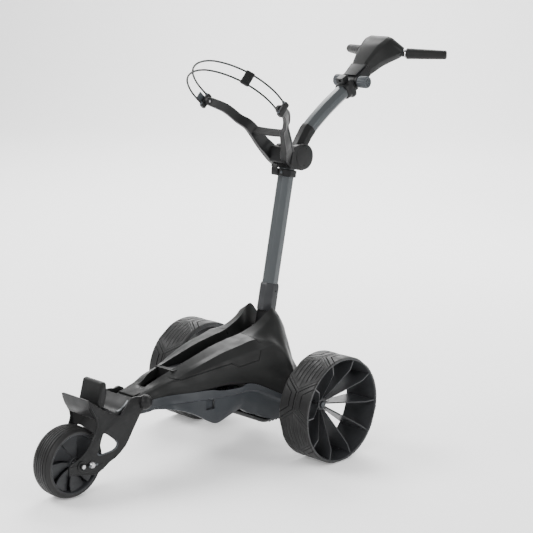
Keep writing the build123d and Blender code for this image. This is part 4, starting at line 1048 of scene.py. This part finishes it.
def tracking_nut():
    place = middle("tracking_nut")
    low = corners("tracking_nut")[0]
    nut = spun("tracking_hub", [(0, 0.01), (0, 9), (1.5, 9.3), (5, 8), (8, 6), (9, 4), (9, 0.01)],
               (low.x, place.y, place.z), X, STEEL, "tracking", steps=32, slot="chrome", angle=35)
    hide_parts("tracking_nut")
    wing = placed([(-14.5, -1.2), (-13, -2.4), (-4, -2.4), (0, -1.4), (4, -2.4), (13, -2.4), (14.5, -1.2),
                   (14.5, 1.2), (13, 2.4), (4, 2.4), (0, 1.4), (-4, 2.4), (-13, 2.4), (-14.5, 1.2)],
                  (low.x + 4.5, place.y, place.z), Y, Z)
    loft("tracking_wings", [wing, [p + X * 3.8 for p in wing]], TUBE, "tracking", slot="chrome", bevel=0.7)


front_fork()
stop_block()
saddle()
tracking_nut()


# ---------------------------------------------------------------- lower column
TUBE_ACROSS = 43
SLEEVE_ACROSS = 51


def column_loft(name, sections, mat, **style):
    """A loft of outlines given across the column: [(s, outline), ...]."""
    rings = [[on_column(x, t, s) for x, t in outline] for s, outline in sections]
    return loft(name, rings, mat, "lower_column", **style)


def lower_column():
    tube = column_loft("column_outer", [(s, octagon(TUBE_ACROSS, 3)) for s in (60, 447.5)], TUBE,
                       slot="graphite_metal", angle=20)
    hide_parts("column_tube")
    sleeve = column_loft("column_boot",
                         [(56, octagon(SLEEVE_ACROSS - 2, 3)), (58, octagon(SLEEVE_ACROSS, 4)),
                          (124, octagon(SLEEVE_ACROSS, 4)), (130, octagon(SLEEVE_ACROSS - 3, 4)),
                          (132, octagon(SLEEVE_ACROSS - 6, 4))],
                         RIM, slot="black_plastic", bevel=0.8)
    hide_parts("column_sleeve")
    for name, out in SIDES:
        # Near-black screw heads on the boot: painted shade.
        spun(f"boot_screw_{name}", [(-2, 0.01), (-2, 2.6), (0.8, 2.4), (0.8, 0.01)],
             on_column(out * SLEEVE_ACROSS / 2, 0, 112), (out, 0, 0), SHADE_BLACK, "lower_column", steps=16,
             slot="black_plastic")
    foot = spun("column_eye", [(-21, 5.4), (-21, 16.5), (-19.5, 18), (19.5, 18), (21, 16.5), (21, 5.4)],
                COLUMN_FOOT, X, BLACK, "lower_column", steps=48, slot="black_plastic", angle=30)
    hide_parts("column_knuckle")
    column_loft("column_root", [(10, rounded(42, 32, 4)), (56, rounded(42, 33, 5))], BLACK,
                slot="black_plastic", bevel=0.6)
    clamp = column_loft("clamp_ring",
                        [(424, octagon(46, 4)), (424.5, octagon(52, 4)), (426, octagon(54, 4)),
                         (442, octagon(54, 4)), (443.5, octagon(52, 4)), (444, octagon(46, 4))],
                        BLACK, slot="black_plastic", angle=25)
    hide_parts("column_clamp")
    jaw = rounded(25, 15, 3, 3, (0, -33))
    column_loft("clamp_jaw", [(425, jaw), (443, jaw)], BLACK, slot="black_plastic", bevel=1.2)
    spun("clamp_screw", [(-10, 0.01), (-10, 3.2), (10, 3.2), (10, 4.6), (12.4, 4.2), (12.8, 3),
                         (12.8, 0.01)],
         on_column(0, -34, 434), X, GREY, "lower_column", steps=20, slot="steel", angle=30)


def mid_latch():
    outline = [(-43.4, 428), (-46, 424.4), (-49, 424.4), (-50.8, 428), (-53, 440), (-52, 448), (-50, 454.4),
               (-46.4, 454.6), (-46.2, 447), (-45.2, 440)]
    rings = [[on_column(x, t, s) for t, s in outline] for x in (-8.6, 8.6)]
    blade = loft("latch_blade", rings, BLACK, "latch", slot="steel", bevel=0.9)
    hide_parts("mid_latch")
    spun("latch_barrel", [(-8.8, 0.01), (-8.8, 2.9), (8.8, 2.9), (8.8, 0.01)], on_column(0, -46, 427), X,
         BLACK, "latch", steps=20, slot="steel")
    for k in range(3):
        grip = [[on_column(x, t, s) for x in (-6.5, 6.5)] for t, s in
                ((-50.6, 452 - 4 * k), (-52, 451 - 4 * k), (-52, 450 - 4 * k), (-50.8, 449 - 4 * k))]
        rings = [[row[j] for row in grip] for j in (0, 1)]
        loft(f"latch_grip_{k}", rings, BLACK, "latch", slot="steel", bevel=0.3)


# ---------------------------------------------------------------- mid hinge housing
HINGE_R = 35
EAR_IN = 22
EAR_OUT = 36


def hinge_housing():
    """Two ears with round caps that carry the pin, joined by a web in front and a floor."""
    middle_t, middle_s = 25, 483.5
    for name, out in SIDES:
        outline = [(-26, 446), (22, 446), (40, 452)]
        start, stop = radians(-62), radians(118)
        for k in range(22):
            turn = start + (stop - start) * k / 21
            outline.append((middle_t + HINGE_R * cos(turn), middle_s + HINGE_R * sin(turn)))
        outline += [(0, 514), (-16, 509), (-26, 498)]
        rings = [[on_column(out * x, t, s) for t, s in outline] for x in (EAR_IN, EAR_OUT)]
        ear = loft(f"hinge_ear_{name}", rings, BLACK, "lower_column", slot="black_plastic", bevel=1.6,
                   segments=4)
        spun(f"hinge_cap_{name}", [(EAR_OUT - 3, 5.2), (EAR_OUT - 3, 33), (EAR_OUT + 0.6, 33),
                                   (EAR_OUT + 1.6, 31.5),
                                   (EAR_OUT + 2, 28), (EAR_OUT + 2, 0.01), (EAR_OUT, 0.01), (EAR_OUT, 5.2)],
             HINGE, (out, 0, 0), BLACK, "lower_column", steps=72, slot="black_plastic", angle=30)
        for k in range(2):
            spot = HINGE + X * out * (EAR_OUT - 0.1) + COLUMN_UP * (23 if k else -23)
            # Near-black dots on the caps: painted shade.
            spun(f"hinge_dot_{name}_{k}", [(-2, 0.01), (-2, 2.6), (1.8, 2.6), (2.2, 2), (2.2, 0.01)], spot,
                 (out, 0, 0), SHADE_BLACK, "lower_column", steps=16, slot="steel", angle=30)
    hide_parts("hinge_housing")
    web = rounded(2 * EAR_IN + 2, 17, 2, 3, (0, -17))
    column_loft("hinge_web", [(447, web), (501, web)], BLACK, slot="black_plastic", bevel=1)
    column_loft("hinge_floor", [(448.4, rounded(2 * EAR_IN + 2, 42, 2)),
                                (451, rounded(2 * EAR_IN + 2, 42, 2))],
                BLACK, slot="black_plastic", bevel=0.4)


# ---------------------------------------------------------------- bag cradle
def cradle():
    """Two moulded arms that leave the hinge block, spread round the bag and end in the strap's bosses."""
    block = [[on_column(x, t, s) for x, t in rounded(w, d, 5, 4, (0, -38))]
             for s, w, d in ((458.5, 50, 20), (462, 55, 23.5), (498, 55, 23.5), (501.5, 50, 20))]
    base = loft("cradle_block", block, BLACK, "lower_column", slot="black_plastic", bevel=0.8)
    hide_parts("bag_cradle")
    stations = [(on_column(31, -8, 470), 46, 9), (on_column(28, -32, 478), 43, 17),
                (on_column(36, -52, 494), 39, 19),
                (on_column(46, -66, 508), 36, 16), (on_column(64, -103, 545), 30, 12.5),
                (Vector((86, 88, 872)), 26, 11), (Vector((110, 60, 900)), 25, 10),
                (Vector((129, 18, 919)), 23, 8.5)]
    for name, out in SIDES:
        path = [(out * p.x, p.y, p.z, tall, thick) for p, tall, thick in stations]
        smooth = eased(path, 6)
        rings = []
        for k, (x, y, z, tall, thick) in enumerate(smooth):
            a, b = smooth[max(k - 1, 0)], smooth[min(k + 1, len(smooth) - 1)]
            ahead = Vector((b[0] - a[0], b[1] - a[1], b[2] - a[2])).normalized()
            up = (BAG_AXIS - ahead * BAG_AXIS.dot(ahead)).normalized()
            side = ahead.cross(up) * out
            half, deep = tall / 2, thick / 2
            # a channel section: flanged edges and a sunk outer face
            section = [(-half, -deep), (-half, deep), (-half + 4, deep), (-half + 6, deep - 2.2),
                       (half - 6, deep - 2.2), (half - 4, deep), (half, deep), (half, -deep)]
            rings.append([Vector((x, y, z)) + up * u - side * v for u, v in section])
        loft(f"cradle_arm_{name}", rings, BLACK, "lower_column", slot="black_plastic", bevel=1.2, angle=25)
        boss = (out * 133, STRAP_MID.y, STRAP_MID.z)
        spun(f"cradle_boss_{name}", [(-10, 4.3), (-10, 9.6), (-8.6, 11), (-1.2, 11), (0, 10), (0, 4.3)],
             boss,
             (out, 0, 0), BLACK, "lower_column", steps=40, slot="black_plastic", angle=30)
    centre = on_column(0, -92, 536)
    rows = []
    for k in range(17):
        x = -56 + 7 * k
        sag = 3.2 * (1 - (x / 56) ** 2)
        rows.append(centre + X * x - STRAP_AHEAD * (sag - 1.4))
    rings = []
    for point in rows:
        rings.append([point + BAG_AXIS * u + STRAP_AHEAD * v for u, v in rounded(24, 4.4, 2)])
    loft("cradle_band", rings, GRIP, "lower_column", slot="grip_rubber", bevel=0.3)


# ---------------------------------------------------------------- strap fittings
def strap_fittings():
    for name, out in SIDES:
        sections = [(-20.6, 10, 13), (-18, 11, 17.6), (18, 11, 17.6), (20.6, 10, 13)]
        rings = [[on_strap(out * (140 + x), y, up) for x, y in rounded(w, d, 3)] for up, w, d in sections]
        end = loft(f"strap_end_{name}", rings, BLACK, "bag_strap", slot="black_plastic", bevel=0.8)
        for level in (-1, 1):
            spot = on_strap(out * 140, 8, level * STRAP_GAP / 2)
            spun(f"strap_ferrule_{name}_{'up' if level > 0 else 'low'}",
                 [(-3, 0.01), (-3, 4.4), (3.4, 4), (4.4, 3.2), (4.4, 0.01)], spot, STRAP_AHEAD, GREY,
                 "bag_strap",
                 steps=24, slot="grey_plastic", angle=30)
        spun(f"strap_pin_{name}", [(124.5, 0.01), (124.5, 3.9), (138, 3.9), (138, 0.01)],
             STRAP_MID - X * STRAP_MID.x, (out, 0, 0), STEEL, "bag_strap", steps=24, slot="steel")
    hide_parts("strap_ends")
    start, stop = Vector(CORD_HALF[3]), Vector(CORD_HALF[4])
    mid, run = (start + stop) / 2, (stop - start).normalized()
    aside = Vector((run.y, -run.x))
    sections = [(-STRAP_GAP / 2 - 4.8, 20, 6), (-STRAP_GAP / 2 - 3, 24, 9), (STRAP_GAP / 2 + 3, 24, 9),
                (STRAP_GAP / 2 + 4.8, 20, 6)]
    rings = []
    for up, w, d in sections:
        rings.append([on_strap(*(mid + run * a + aside * b), up) for a, b in rounded(w, d, 2.6)])
    slider = loft("slider_body", rings, BLACK, "bag_strap", slot="black_plastic", bevel=0.7)
    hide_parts("strap_slider")
    for k in range(4):
        spot = mid + run * (-7.5 + 5 * k) + aside * 4.2
        rings = [[on_strap(*(spot + run * a + aside * b), up) for a, b in rounded(2, 1.6, 0.6)]
                 for up in (-11, 11)]
        loft(f"slider_rib_{k}", rings, BLACK, "bag_strap", slot="black_plastic", bevel=0.2)
    hinge_x, hinge_back = -149.2, 7.5
    blade = [(-2.4, 0), (-2.5, 2), (-2.2, 10), (-2.5, 22), (-1.4, 32.6), (0.6, 33.3), (2.2, 32), (2.3, 20),
             (2.4, 0)]
    rings = [[on_strap(hinge_x + a, b - hinge_back, up) for a, b in blade] for up in (-10.6, 10.6)]
    lever = loft("lever_blade", rings, GREY, "strap_lever", slot="grey_plastic", bevel=0.8)
    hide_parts("buckle_lever")
    spun("lever_barrel", [(-10.8, 0.01), (-10.8, 2.45), (10.8, 2.45), (10.8, 0.01)],
         on_strap(hinge_x, -hinge_back, 0), BAG_AXIS, STEEL, "strap_lever", steps=20, slot="steel")


lower_column()
mid_latch()
hinge_housing()
cradle()
strap_fittings()


# ---------------------------------------------------------------- upper column
SOCKET_R = 4.05
SOCKET_RISE = -33
# three points on the middle line of the bent upper tube
TUBE_FOOT = Vector((0, 264, 834))
TUBE_MID = Vector((0, 347, 896.5))
TUBE_HEAD = Vector((0, 436, 948))
NECK = Vector((0, 0.548, 0.837)).normalized()


def tube_arc(steps=20):
    """The upper tube's middle line: an arc through its foot, middle and head, with its directions."""
    a, b, c = TUBE_FOOT, TUBE_MID, TUBE_HEAD
    d = 2 * (a.y * (b.z - c.z) + b.y * (c.z - a.z) + c.y * (a.z - b.z))
    squares = [p.y ** 2 + p.z ** 2 for p in (a, b, c)]
    y = (squares[0] * (b.z - c.z) + squares[1] * (c.z - a.z) + squares[2] * (a.z - b.z)) / d
    z = (squares[0] * (c.y - b.y) + squares[1] * (a.y - c.y) + squares[2] * (b.y - a.y)) / d
    centre = Vector((0, y, z))
    reach = (a - centre).length
    first = atan2(a.z - z, a.y - y)
    last = atan2(c.z - z, c.y - y)
    line = []
    for k in range(steps + 1):
        turn = first + (last - first) * k / steps
        ahead = Vector((0, -sin(turn), cos(turn))) * (1 if last > first else -1)
        line.append((centre + Vector((0, cos(turn), sin(turn))) * reach, ahead))
    return line


ARC = tube_arc()
HEAD_DIR = ARC[-1][1]
FOOT_DIR = ARC[0][1]


def square_to(point, ahead, outline):
    """An outline placed across a direction in the middle plane; its second axis points down and back."""
    under = Vector((0, ahead.z, -ahead.y))
    return [Vector(point) + X * a + under * b for a, b in outline]


def upper_column():
    rings = [square_to(point, ahead, octagon(40, 3)) for point, ahead in ARC]
    tube = loft("upper_outer", rings, TUBE, "upper_column", slot="graphite_metal", angle=20)
    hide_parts("upper_tube")
    sections = [(HINGE + NECK * 6, NECK, 42), (HINGE + NECK * 22, NECK, 42), (HINGE + NECK * 42, NECK, 42),
                (TUBE_FOOT - FOOT_DIR * 3, FOOT_DIR, 42.6), (TUBE_FOOT + FOOT_DIR * 9, FOOT_DIR, 43),
                (TUBE_FOOT + FOOT_DIR * 11.4, FOOT_DIR, 42)]
    rings = [square_to(p, d, octagon(w, 4, 4)) for p, d, w in sections]
    neck = loft("knuckle_neck", rings, BLACK, "upper_column", slot="black_plastic", bevel=0.8)
    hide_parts("upper_knuckle")
    spun("knuckle_eye", [(-21.3, 5.3), (-21.3, 28.6), (-19.9, 30), (19.9, 30), (21.3, 28.6), (21.3, 5.3)],
         HINGE, X,
         BLACK, "upper_column", steps=64, slot="black_plastic", angle=30)
    rings = []
    for back, w in ((30, 42), (28, 44), (14, 46), (10, 54), (8.6, 56), (2.4, 56), (0.8, 54), (0, 48)):
        rings.append(square_to(TUBE_HEAD - HEAD_DIR * back, HEAD_DIR, rounded(w, w, w * 0.3, 6)))
    collar = loft("collar_shell", rings, BLACK, "upper_column", slot="black_plastic", angle=25)
    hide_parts("shoulder_collar")
    rings = [square_to(TUBE_HEAD + HEAD_DIR * f, HEAD_DIR, rounded(39, 33 - f * 0.1, 5)) for f in (-2, 8,
                                                                                                   17.5)]
    loft("collar_neck", rings, BLACK, "upper_column", slot="black_plastic", bevel=0.8)
    spun("collar_eye", [(-19.8, 5.3), (-19.8, 15.6), (-18.4, 17), (18.4, 17), (19.8, 15.6), (19.8, 5.3)],
         TILT, X,
         BLACK, "upper_column", steps=48, slot="black_plastic", angle=30)
    # accessory bracket: a block with a round socket along the tube
    outer = rounded(25.6, 17.6, 3.5, 5, (0, -32.5))
    steps = len(outer)
    hole = []
    for k in range(steps):
        # counted from the corner where the outer outline starts, so that the end faces don't twist
        turn = 2 * pi * ((k - 3) % steps + 0.5) / steps
        hole.append((SOCKET_R * cos(turn), SOCKET_RISE + SOCKET_R * sin(turn)))
    rings = []
    for outline, back in ((outer, 25.8), (outer, 4.2), (hole, 4.2), (hole, 25.8)):
        rings.append(square_to(TUBE_HEAD - HEAD_DIR * back, HEAD_DIR, outline))
    verts = [v for ring in rings for v in ring]
    clip = piece("accessory_block", verts, rings_faces(4, steps, closed_rows=True), BLACK, "upper_column",
                 slot="black_plastic", bevel=0.7)
    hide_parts("accessory_bracket")


# ---------------------------------------------------------------- handle
def handle_loft(name, sections, mat, body="handle", **style):
    """A loft of outlines across the handle: [(z, outline), ...]."""
    rings = [[on_handle(x, y, z) for x, y in outline] for z, outline in sections]
    return loft(name, rings, mat, body, **style)


BAR_START = Vector((76, 590, 1041))
BAR_END = Vector((178, 650.5, 1041))


def bar_line(out):
    """Where a grip starts, and the direction it runs in."""
    start = Vector((out * BAR_START.x, BAR_START.y, BAR_START.z))
    end = Vector((out * BAR_END.x, BAR_END.y, BAR_END.z))
    return start, (end - start).normalized(), (end - start).length


def handle_frame():
    for name, out in SIDES:
        outline = []
        for k in range(15):
            turn = pi / 2 + pi * k / 14
            outline.append((17 * sin(turn), 17 * cos(turn)))
        outline += [(-17, 48), (17, 48)]
        rings = [[on_handle(out * x, y, z) for y, z in outline] for x in (20.7, 28.8)]
        cheek = loft(f"yoke_cheek_{name}", rings, BLACK, "handle", slot="black_plastic", bevel=1.4,
                     segments=4)
        spun(f"yoke_washer_{name}", [(28.6, 5.2), (28.6, 14), (29.2, 14), (29.2, 5.2)], TILT, (out, 0, 0),
             STEEL,
             "handle", steps=40, slot="steel")
        start, ahead, length = bar_line(out)
        spun(f"handle_bar_{name}", [(-30, 0.01), (-30, 9.3), (length - 6, 9.3), (length - 6, 0.01)], start,
             ahead, BLACK,
             "handle", steps=32, slot="black_plastic", angle=30)
    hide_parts("handle_yoke")
    handle_loft("yoke_cross", [(24.5, rounded(57, 33, 5)), (49, rounded(57, 33, 6))], BLACK,
                slot="black_plastic",
                bevel=1.2)
    handle_loft("yoke_hood", [(3, rounded(44, 3, 1.2, 3, (0, -19.6))),
                              (26, rounded(50, 3.4, 1.2, 3, (0, -19.2))),
                              (50, rounded(55, 3.6, 1.2, 3, (0, -18.6)))], BLACK, slot="black_plastic",
                              bevel=0.8)
    handle_loft("handle_stem", [(49, rounded(26, 24, 4)), (127, rounded(26, 24, 4))], TUBE,
                slot="graphite_metal",
                angle=30)


def knob(name, out):
    """A tilt knob: a ribbed barrel with a dished end and a ring of small dots."""
    base, top = 29.6, 58.5
    ribs = 12
    sections = [(base, 15.6), (base + 1.2, 16.8), (base + 8, 17), (top - 3, 16.8), (top - 0.8, 15.4),
                (top, 13.6)]
    rings = []
    steps = ribs * 8
    for x, r in sections:
        ring = []
        for k in range(steps):
            turn = 2 * pi * k / steps
            dip = max(0, cos(ribs * turn)) ** 2 * (1.7 if base + 4 < x < top - 0.5 else 0.5)
            ring.append((out * x, TILT.y + (r - dip) * cos(turn), TILT.z + (r - dip) * sin(turn)))
        rings.append(ring)
    for sunk, r in ((0.4, 12), (2, 10.6)):
        rings.append([(out * (top - sunk), TILT.y + r * cos(2 * pi * k / steps),
                       TILT.z + r * sin(2 * pi * k / steps)) for k in range(steps)])
    body = f"knob_{name[0]}"
    made = loft(f"knob_grip_{name}", rings, GREY, body, slot="grey_plastic", angle=35)
    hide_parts(f"knob_{name}")
    for k in range(6):
        turn = 2 * pi * (k + 0.5) / 6
        spot = (out * (top - 2.4), TILT.y + 7 * cos(turn), TILT.z + 7 * sin(turn))
        # Near-black dots in the dished end: painted shade.
        spun(f"knob_dot_{name}_{k}", [(-1, 0.01), (-1, 1.5), (0.9, 1.3), (0.9, 0.01)], spot, (out, 0, 0),
             SHADE_BLACK, body,
             steps=12, slot="black_plastic")


# Half outlines of the console from its top edge round to its underside: (distance out, half outline).
CONSOLE = [
    (50.5, [(18, -21), (26, -17), (29, 1), (25, 19), (12, 20)]),
    (72, [(21, -24.5), (31, -20), (35.5, 3), (29, 22.5), (14, 24)]),
    (96, [(24, -28), (36, -23), (43, 6), (34, 26.5), (16, 28)]),
    (122, [(27, -30), (40, -25), (57, 11), (46, 31), (22, 33)]),
    (147, [(32, -28), (45.5, -23), (75, 15), (61, 35), (30, 38)]),
    (159, [(32, -27), (45.5, -22), (75, 15), (61, 35), (30, 37)]),
    (166, [(31, -24.5), (44, -19.5), (72, 15), (59, 33), (29, 35)]),
]


def console():
    rings = []
    for z in span_values(CONSOLE[0][0], CONSOLE[-1][0], 5):
        rings.append([on_handle(x, y, z) for x, y in whole(along_y(CONSOLE, z))])
    shell = loft("console_body", rings, COVER, "handle", bevel=0.9, segments=3, angle=18)
    baked(shell)
    tools = []
    for out in (1, -1):
        start, ahead = bar_line(out)[:2]
        across = ahead.orthogonal().normalized()
        other = ahead.cross(across)
        tube = [[start + ahead * d + (across * cos(2 * pi * k / 24) + other * sin(2 * pi * k / 24)) * 9.9
                 for k in range(24)] for d in (-34, 60)]
        tools.append((tube[0] + tube[1], rings_faces(2, 24)))
    cut(shell, tools)
    crisp(shell, 25)
    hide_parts("console_shell")
    handle_loft("console_flange", [(47, rounded(52, 38, 9)), (48, rounded(56, 41, 10)),
                                   (53, rounded(58, 42, 10)),
                                   (55, rounded(56, 40, 10))], BLACK, slot="black_plastic", bevel=0.8)
    rim = whole(CONSOLE[-1][1])
    inset = [(x * 0.955, 2 + (y - 2) * 0.93) for x, y in rim]
    face = handle_loft("face_panel", [(166.2, rim), (168, rim), (169, inset)], BLACK, slot="black_plastic",
                       bevel=0.7, angle=18)
    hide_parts("console_face")
    glass = handle_loft("display_pane", [(169.1, rounded(58, 26, 4, 5, (0, -8.5))),
                                         (170.1, rounded(57.4, 25.4, 4, 5, (0, -8.5))),
                                         (170.4, rounded(54, 22, 3, 5, (0, -8.5)))], GLASS, slot="display",
                                         angle=30)
    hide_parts("display_glass")
    marks = [(-17, -16, 12, 1.4), (-17, -12, 16, 1.4), (-17, -8, 9, 1.4), (16, -15, 14, 1), (16, -3, 14, 1),
             (9, -9, 1, 12), (23, -9, 1, 12), (-17, -2.5, 16, 2.4)]
    for k, (x, y, w, h) in enumerate(marks):
        handle_loft(f"display_mark_{k}", [(170.2, rounded(w, h, 0.3, 2, (x, y))),
                                          (170.48, rounded(w, h, 0.3, 2, (x, y)))],
                    MARKS, slot="display")


def controls():
    dial_base = on_handle(0, 20, 169.6)
    steps = 96
    rings = []
    for z, r, dip in ((0, 11.8, 0), (1.4, 12, 0.5), (6, 12, 0.7), (7.4, 11.2, 0.3), (7.9, 9.8, 0),
                      (7.6, 8.4, 0),
                      (6.9, 7.6, 0)):
        ring = []
        for k in range(steps):
            turn = 2 * pi * k / steps
            reach = r - dip * (k % 4 in (0, 1))
            ring.append(dial_base + HANDLE_OUT * z + X * reach * cos(turn) + HANDLE_DOWN * reach * sin(turn))
        rings.append(ring)
    dial = loft("dial_cap", rings, GREY, "dial", slot="grey_plastic", angle=35)
    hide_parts("speed_dial")
    pointer = [(x, y + 14.8) for x, y in rounded(1.2, 5, 0.5)]
    handle_loft("dial_pointer", [(176.4, pointer), (177.3, pointer)], MARKS, body="dial", slot="display")
    for name, x in (("power", -34), ("mode", 34)):
        cap = spun(f"{name}_cap", [(0, 0.01), (0, 5.9), (5.2, 5.9), (5.9, 5.2), (6, 3.6), (5.4, 2.4),
                                   (5.2, 0.01)],
                   on_handle(x, 20, 165), HANDLE_OUT, GREY, name, steps=40, slot="grey_plastic", angle=30)
        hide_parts(f"{name}_button")


def grip(name, out):
    """A rubber grip that swells towards its rounded end, with rings of fine ribs, and its chrome ring."""
    start, ahead, length = bar_line(out)
    profile = [(length * 0.04, 9.4), (length * 0.04, 14), (length * 0.04 + 1.4, 15.5)]
    for k in range(24):
        f = 0.08 + 0.8 * k / 23
        rib = 0.3 if k % 2 else 0
        profile.append((length * f, 15.9 - 3.2 * f - rib))
    profile += [(length - 4.5, 12.6), (length - 2.2, 12), (length - 0.7, 10.6), (length, 8.4),
                (length, 0.01),
                (length - 5.5, 0.01), (length - 5.5, 9.4)]
    made = spun(f"grip_sleeve_{name}", profile, start, ahead, GRIP, "handle", steps=56, slot="grip_rubber",
                angle=60)
    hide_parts(f"grip_{name}")
    ring = spun(f"grip_band_{name}", [(0, 9.5), (0, 14.2), (0.5, 15), (2.5, 15), (3, 14.2), (3, 9.5)],
                start, ahead,
                CHROME, "handle", steps=56, slot="chrome", angle=30)
    if out > 0:
        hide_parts("grip_rings")


upper_column()
handle_frame()
for side_name, sign in SIDES:
    knob(side_name, sign)
console()
controls()
for side_name, sign in SIDES:
    grip(side_name, sign)


# ---------------------------------------------------------------- finishes of the nodes that stay
FINISH = {
    "column_bracket": BLACK, "column_pin": STEEL, "controller_box": BLACK, "drive_motors": STEEL,
    "gearboxes": BLACK, "axle_left": STEEL, "axle_right": STEEL, "release_button_left": GREY,
    "release_button_right": GREY, "front_axle": STEEL, "front_bearings": STEEL, "hinge_pin": STEEL,
    # The battery bay takes the darker black: painted shade.
    "tilt_bolt": STEEL, "battery_bay": SHADE_BLACK,
}


def finish_nodes():
    for node, mat in FINISH.items():
        shown = bpy.data.objects.get(node)
        if shown:
            for place in shown.material_slots:
                place.link = "OBJECT"
                place.material = mat


finish_nodes()


# ---------------------------------------------------------------- floor and light
def add_floor():
    """A pale floor that curves up behind the trolley into a plain backdrop."""
    mat = bpy.data.materials.new("pale_floor")
    mat.use_nodes = True
    nodes, links = mat.node_tree.nodes, mat.node_tree.links
    shader = nodes["Principled BSDF"]
    shader.inputs["Roughness"].default_value = 0.9
    shader.inputs["Specular IOR Level"].default_value = 0.1
    shader.inputs["Emission Color"].default_value = (1, 1, 1, 1)
    shader.inputs["Emission Strength"].default_value = 0.22
    noise = nodes.new("ShaderNodeTexNoise")
    noise.inputs["Scale"].default_value = 3
    tint = nodes.new("ShaderNodeMix")
    tint.data_type = "RGBA"
    tint.inputs["A"].default_value = (0.975, 0.975, 0.975, 1)
    tint.inputs["B"].default_value = (0.985, 0.985, 0.985, 1)
    links.new(noise.outputs["Fac"], tint.inputs["Factor"])
    links.new(tint.outputs["Result"], shader.inputs["Base Color"])
    outline = [(14, 0)]
    bend = 1.6
    for k in range(13):
        turn = pi / 2 * k / 12
        outline.append((-7 - bend * sin(turn), bend - bend * cos(turn)))
    outline.append((-7 - bend, 9))
    away = Vector((-sin(CAMERA_AZ), cos(CAMERA_AZ), 0))
    along = Vector((cos(CAMERA_AZ), sin(CAMERA_AZ), 0))
    verts = []
    for reach, height in outline:
        for s in (-13, 13):
            verts.append(tuple(-away * reach + along * s + Vector((0, 0, height))))
    faces = [(2 * k, 2 * k + 1, 2 * k + 3, 2 * k + 2) for k in range(len(outline) - 1)]
    mesh = bpy.data.meshes.new("floor")
    mesh.from_pydata(verts, [], faces)
    for polygon in mesh.polygons:
        polygon.use_smooth = True
    mesh.materials.append(mat)
    floor = bpy.data.objects.new("floor", mesh)
    bpy.context.collection.objects.link(floor)


def add_light(name, place, aim, size, power):
    lamp = bpy.data.lights.new(name, "AREA")
    lamp.shape = "RECTANGLE"
    lamp.size, lamp.size_y = size
    lamp.energy = power
    light = bpy.data.objects.new(name, lamp)
    light.location = place
    light.rotation_euler = (Vector(aim) - Vector(place)).to_track_quat("-Z", "Y").to_euler()
    bpy.context.collection.objects.link(light)


add_floor()
add_light("key", (-2.4, -2.2, 3.6), (0, 0, 0.3), (2.4, 1.6), 190)
add_light("front", (1.4, -3.4, 2.4), (0, -0.1, 0.3), (1.8, 1.2), 70)
add_light("side", (3.4, 0.9, 1.9), (0, 0, 0.5), (1.2, 2.4), 60)
add_light("back", (-0.6, 3.2, 2.4), (0, 0, 0.5), (2.6, 1.4), 55)
add_light("sweep", (-3.2, 3.6, 4.2), (-1.6, 4.5, 0.2), (5, 3), 500)

world = bpy.data.worlds.new("studio")
world.use_nodes = True
world.node_tree.nodes["Background"].inputs["Color"].default_value = (1, 1, 1, 1)
world.node_tree.nodes["Background"].inputs["Strength"].default_value = 0.75
bpy.context.scene.world = world
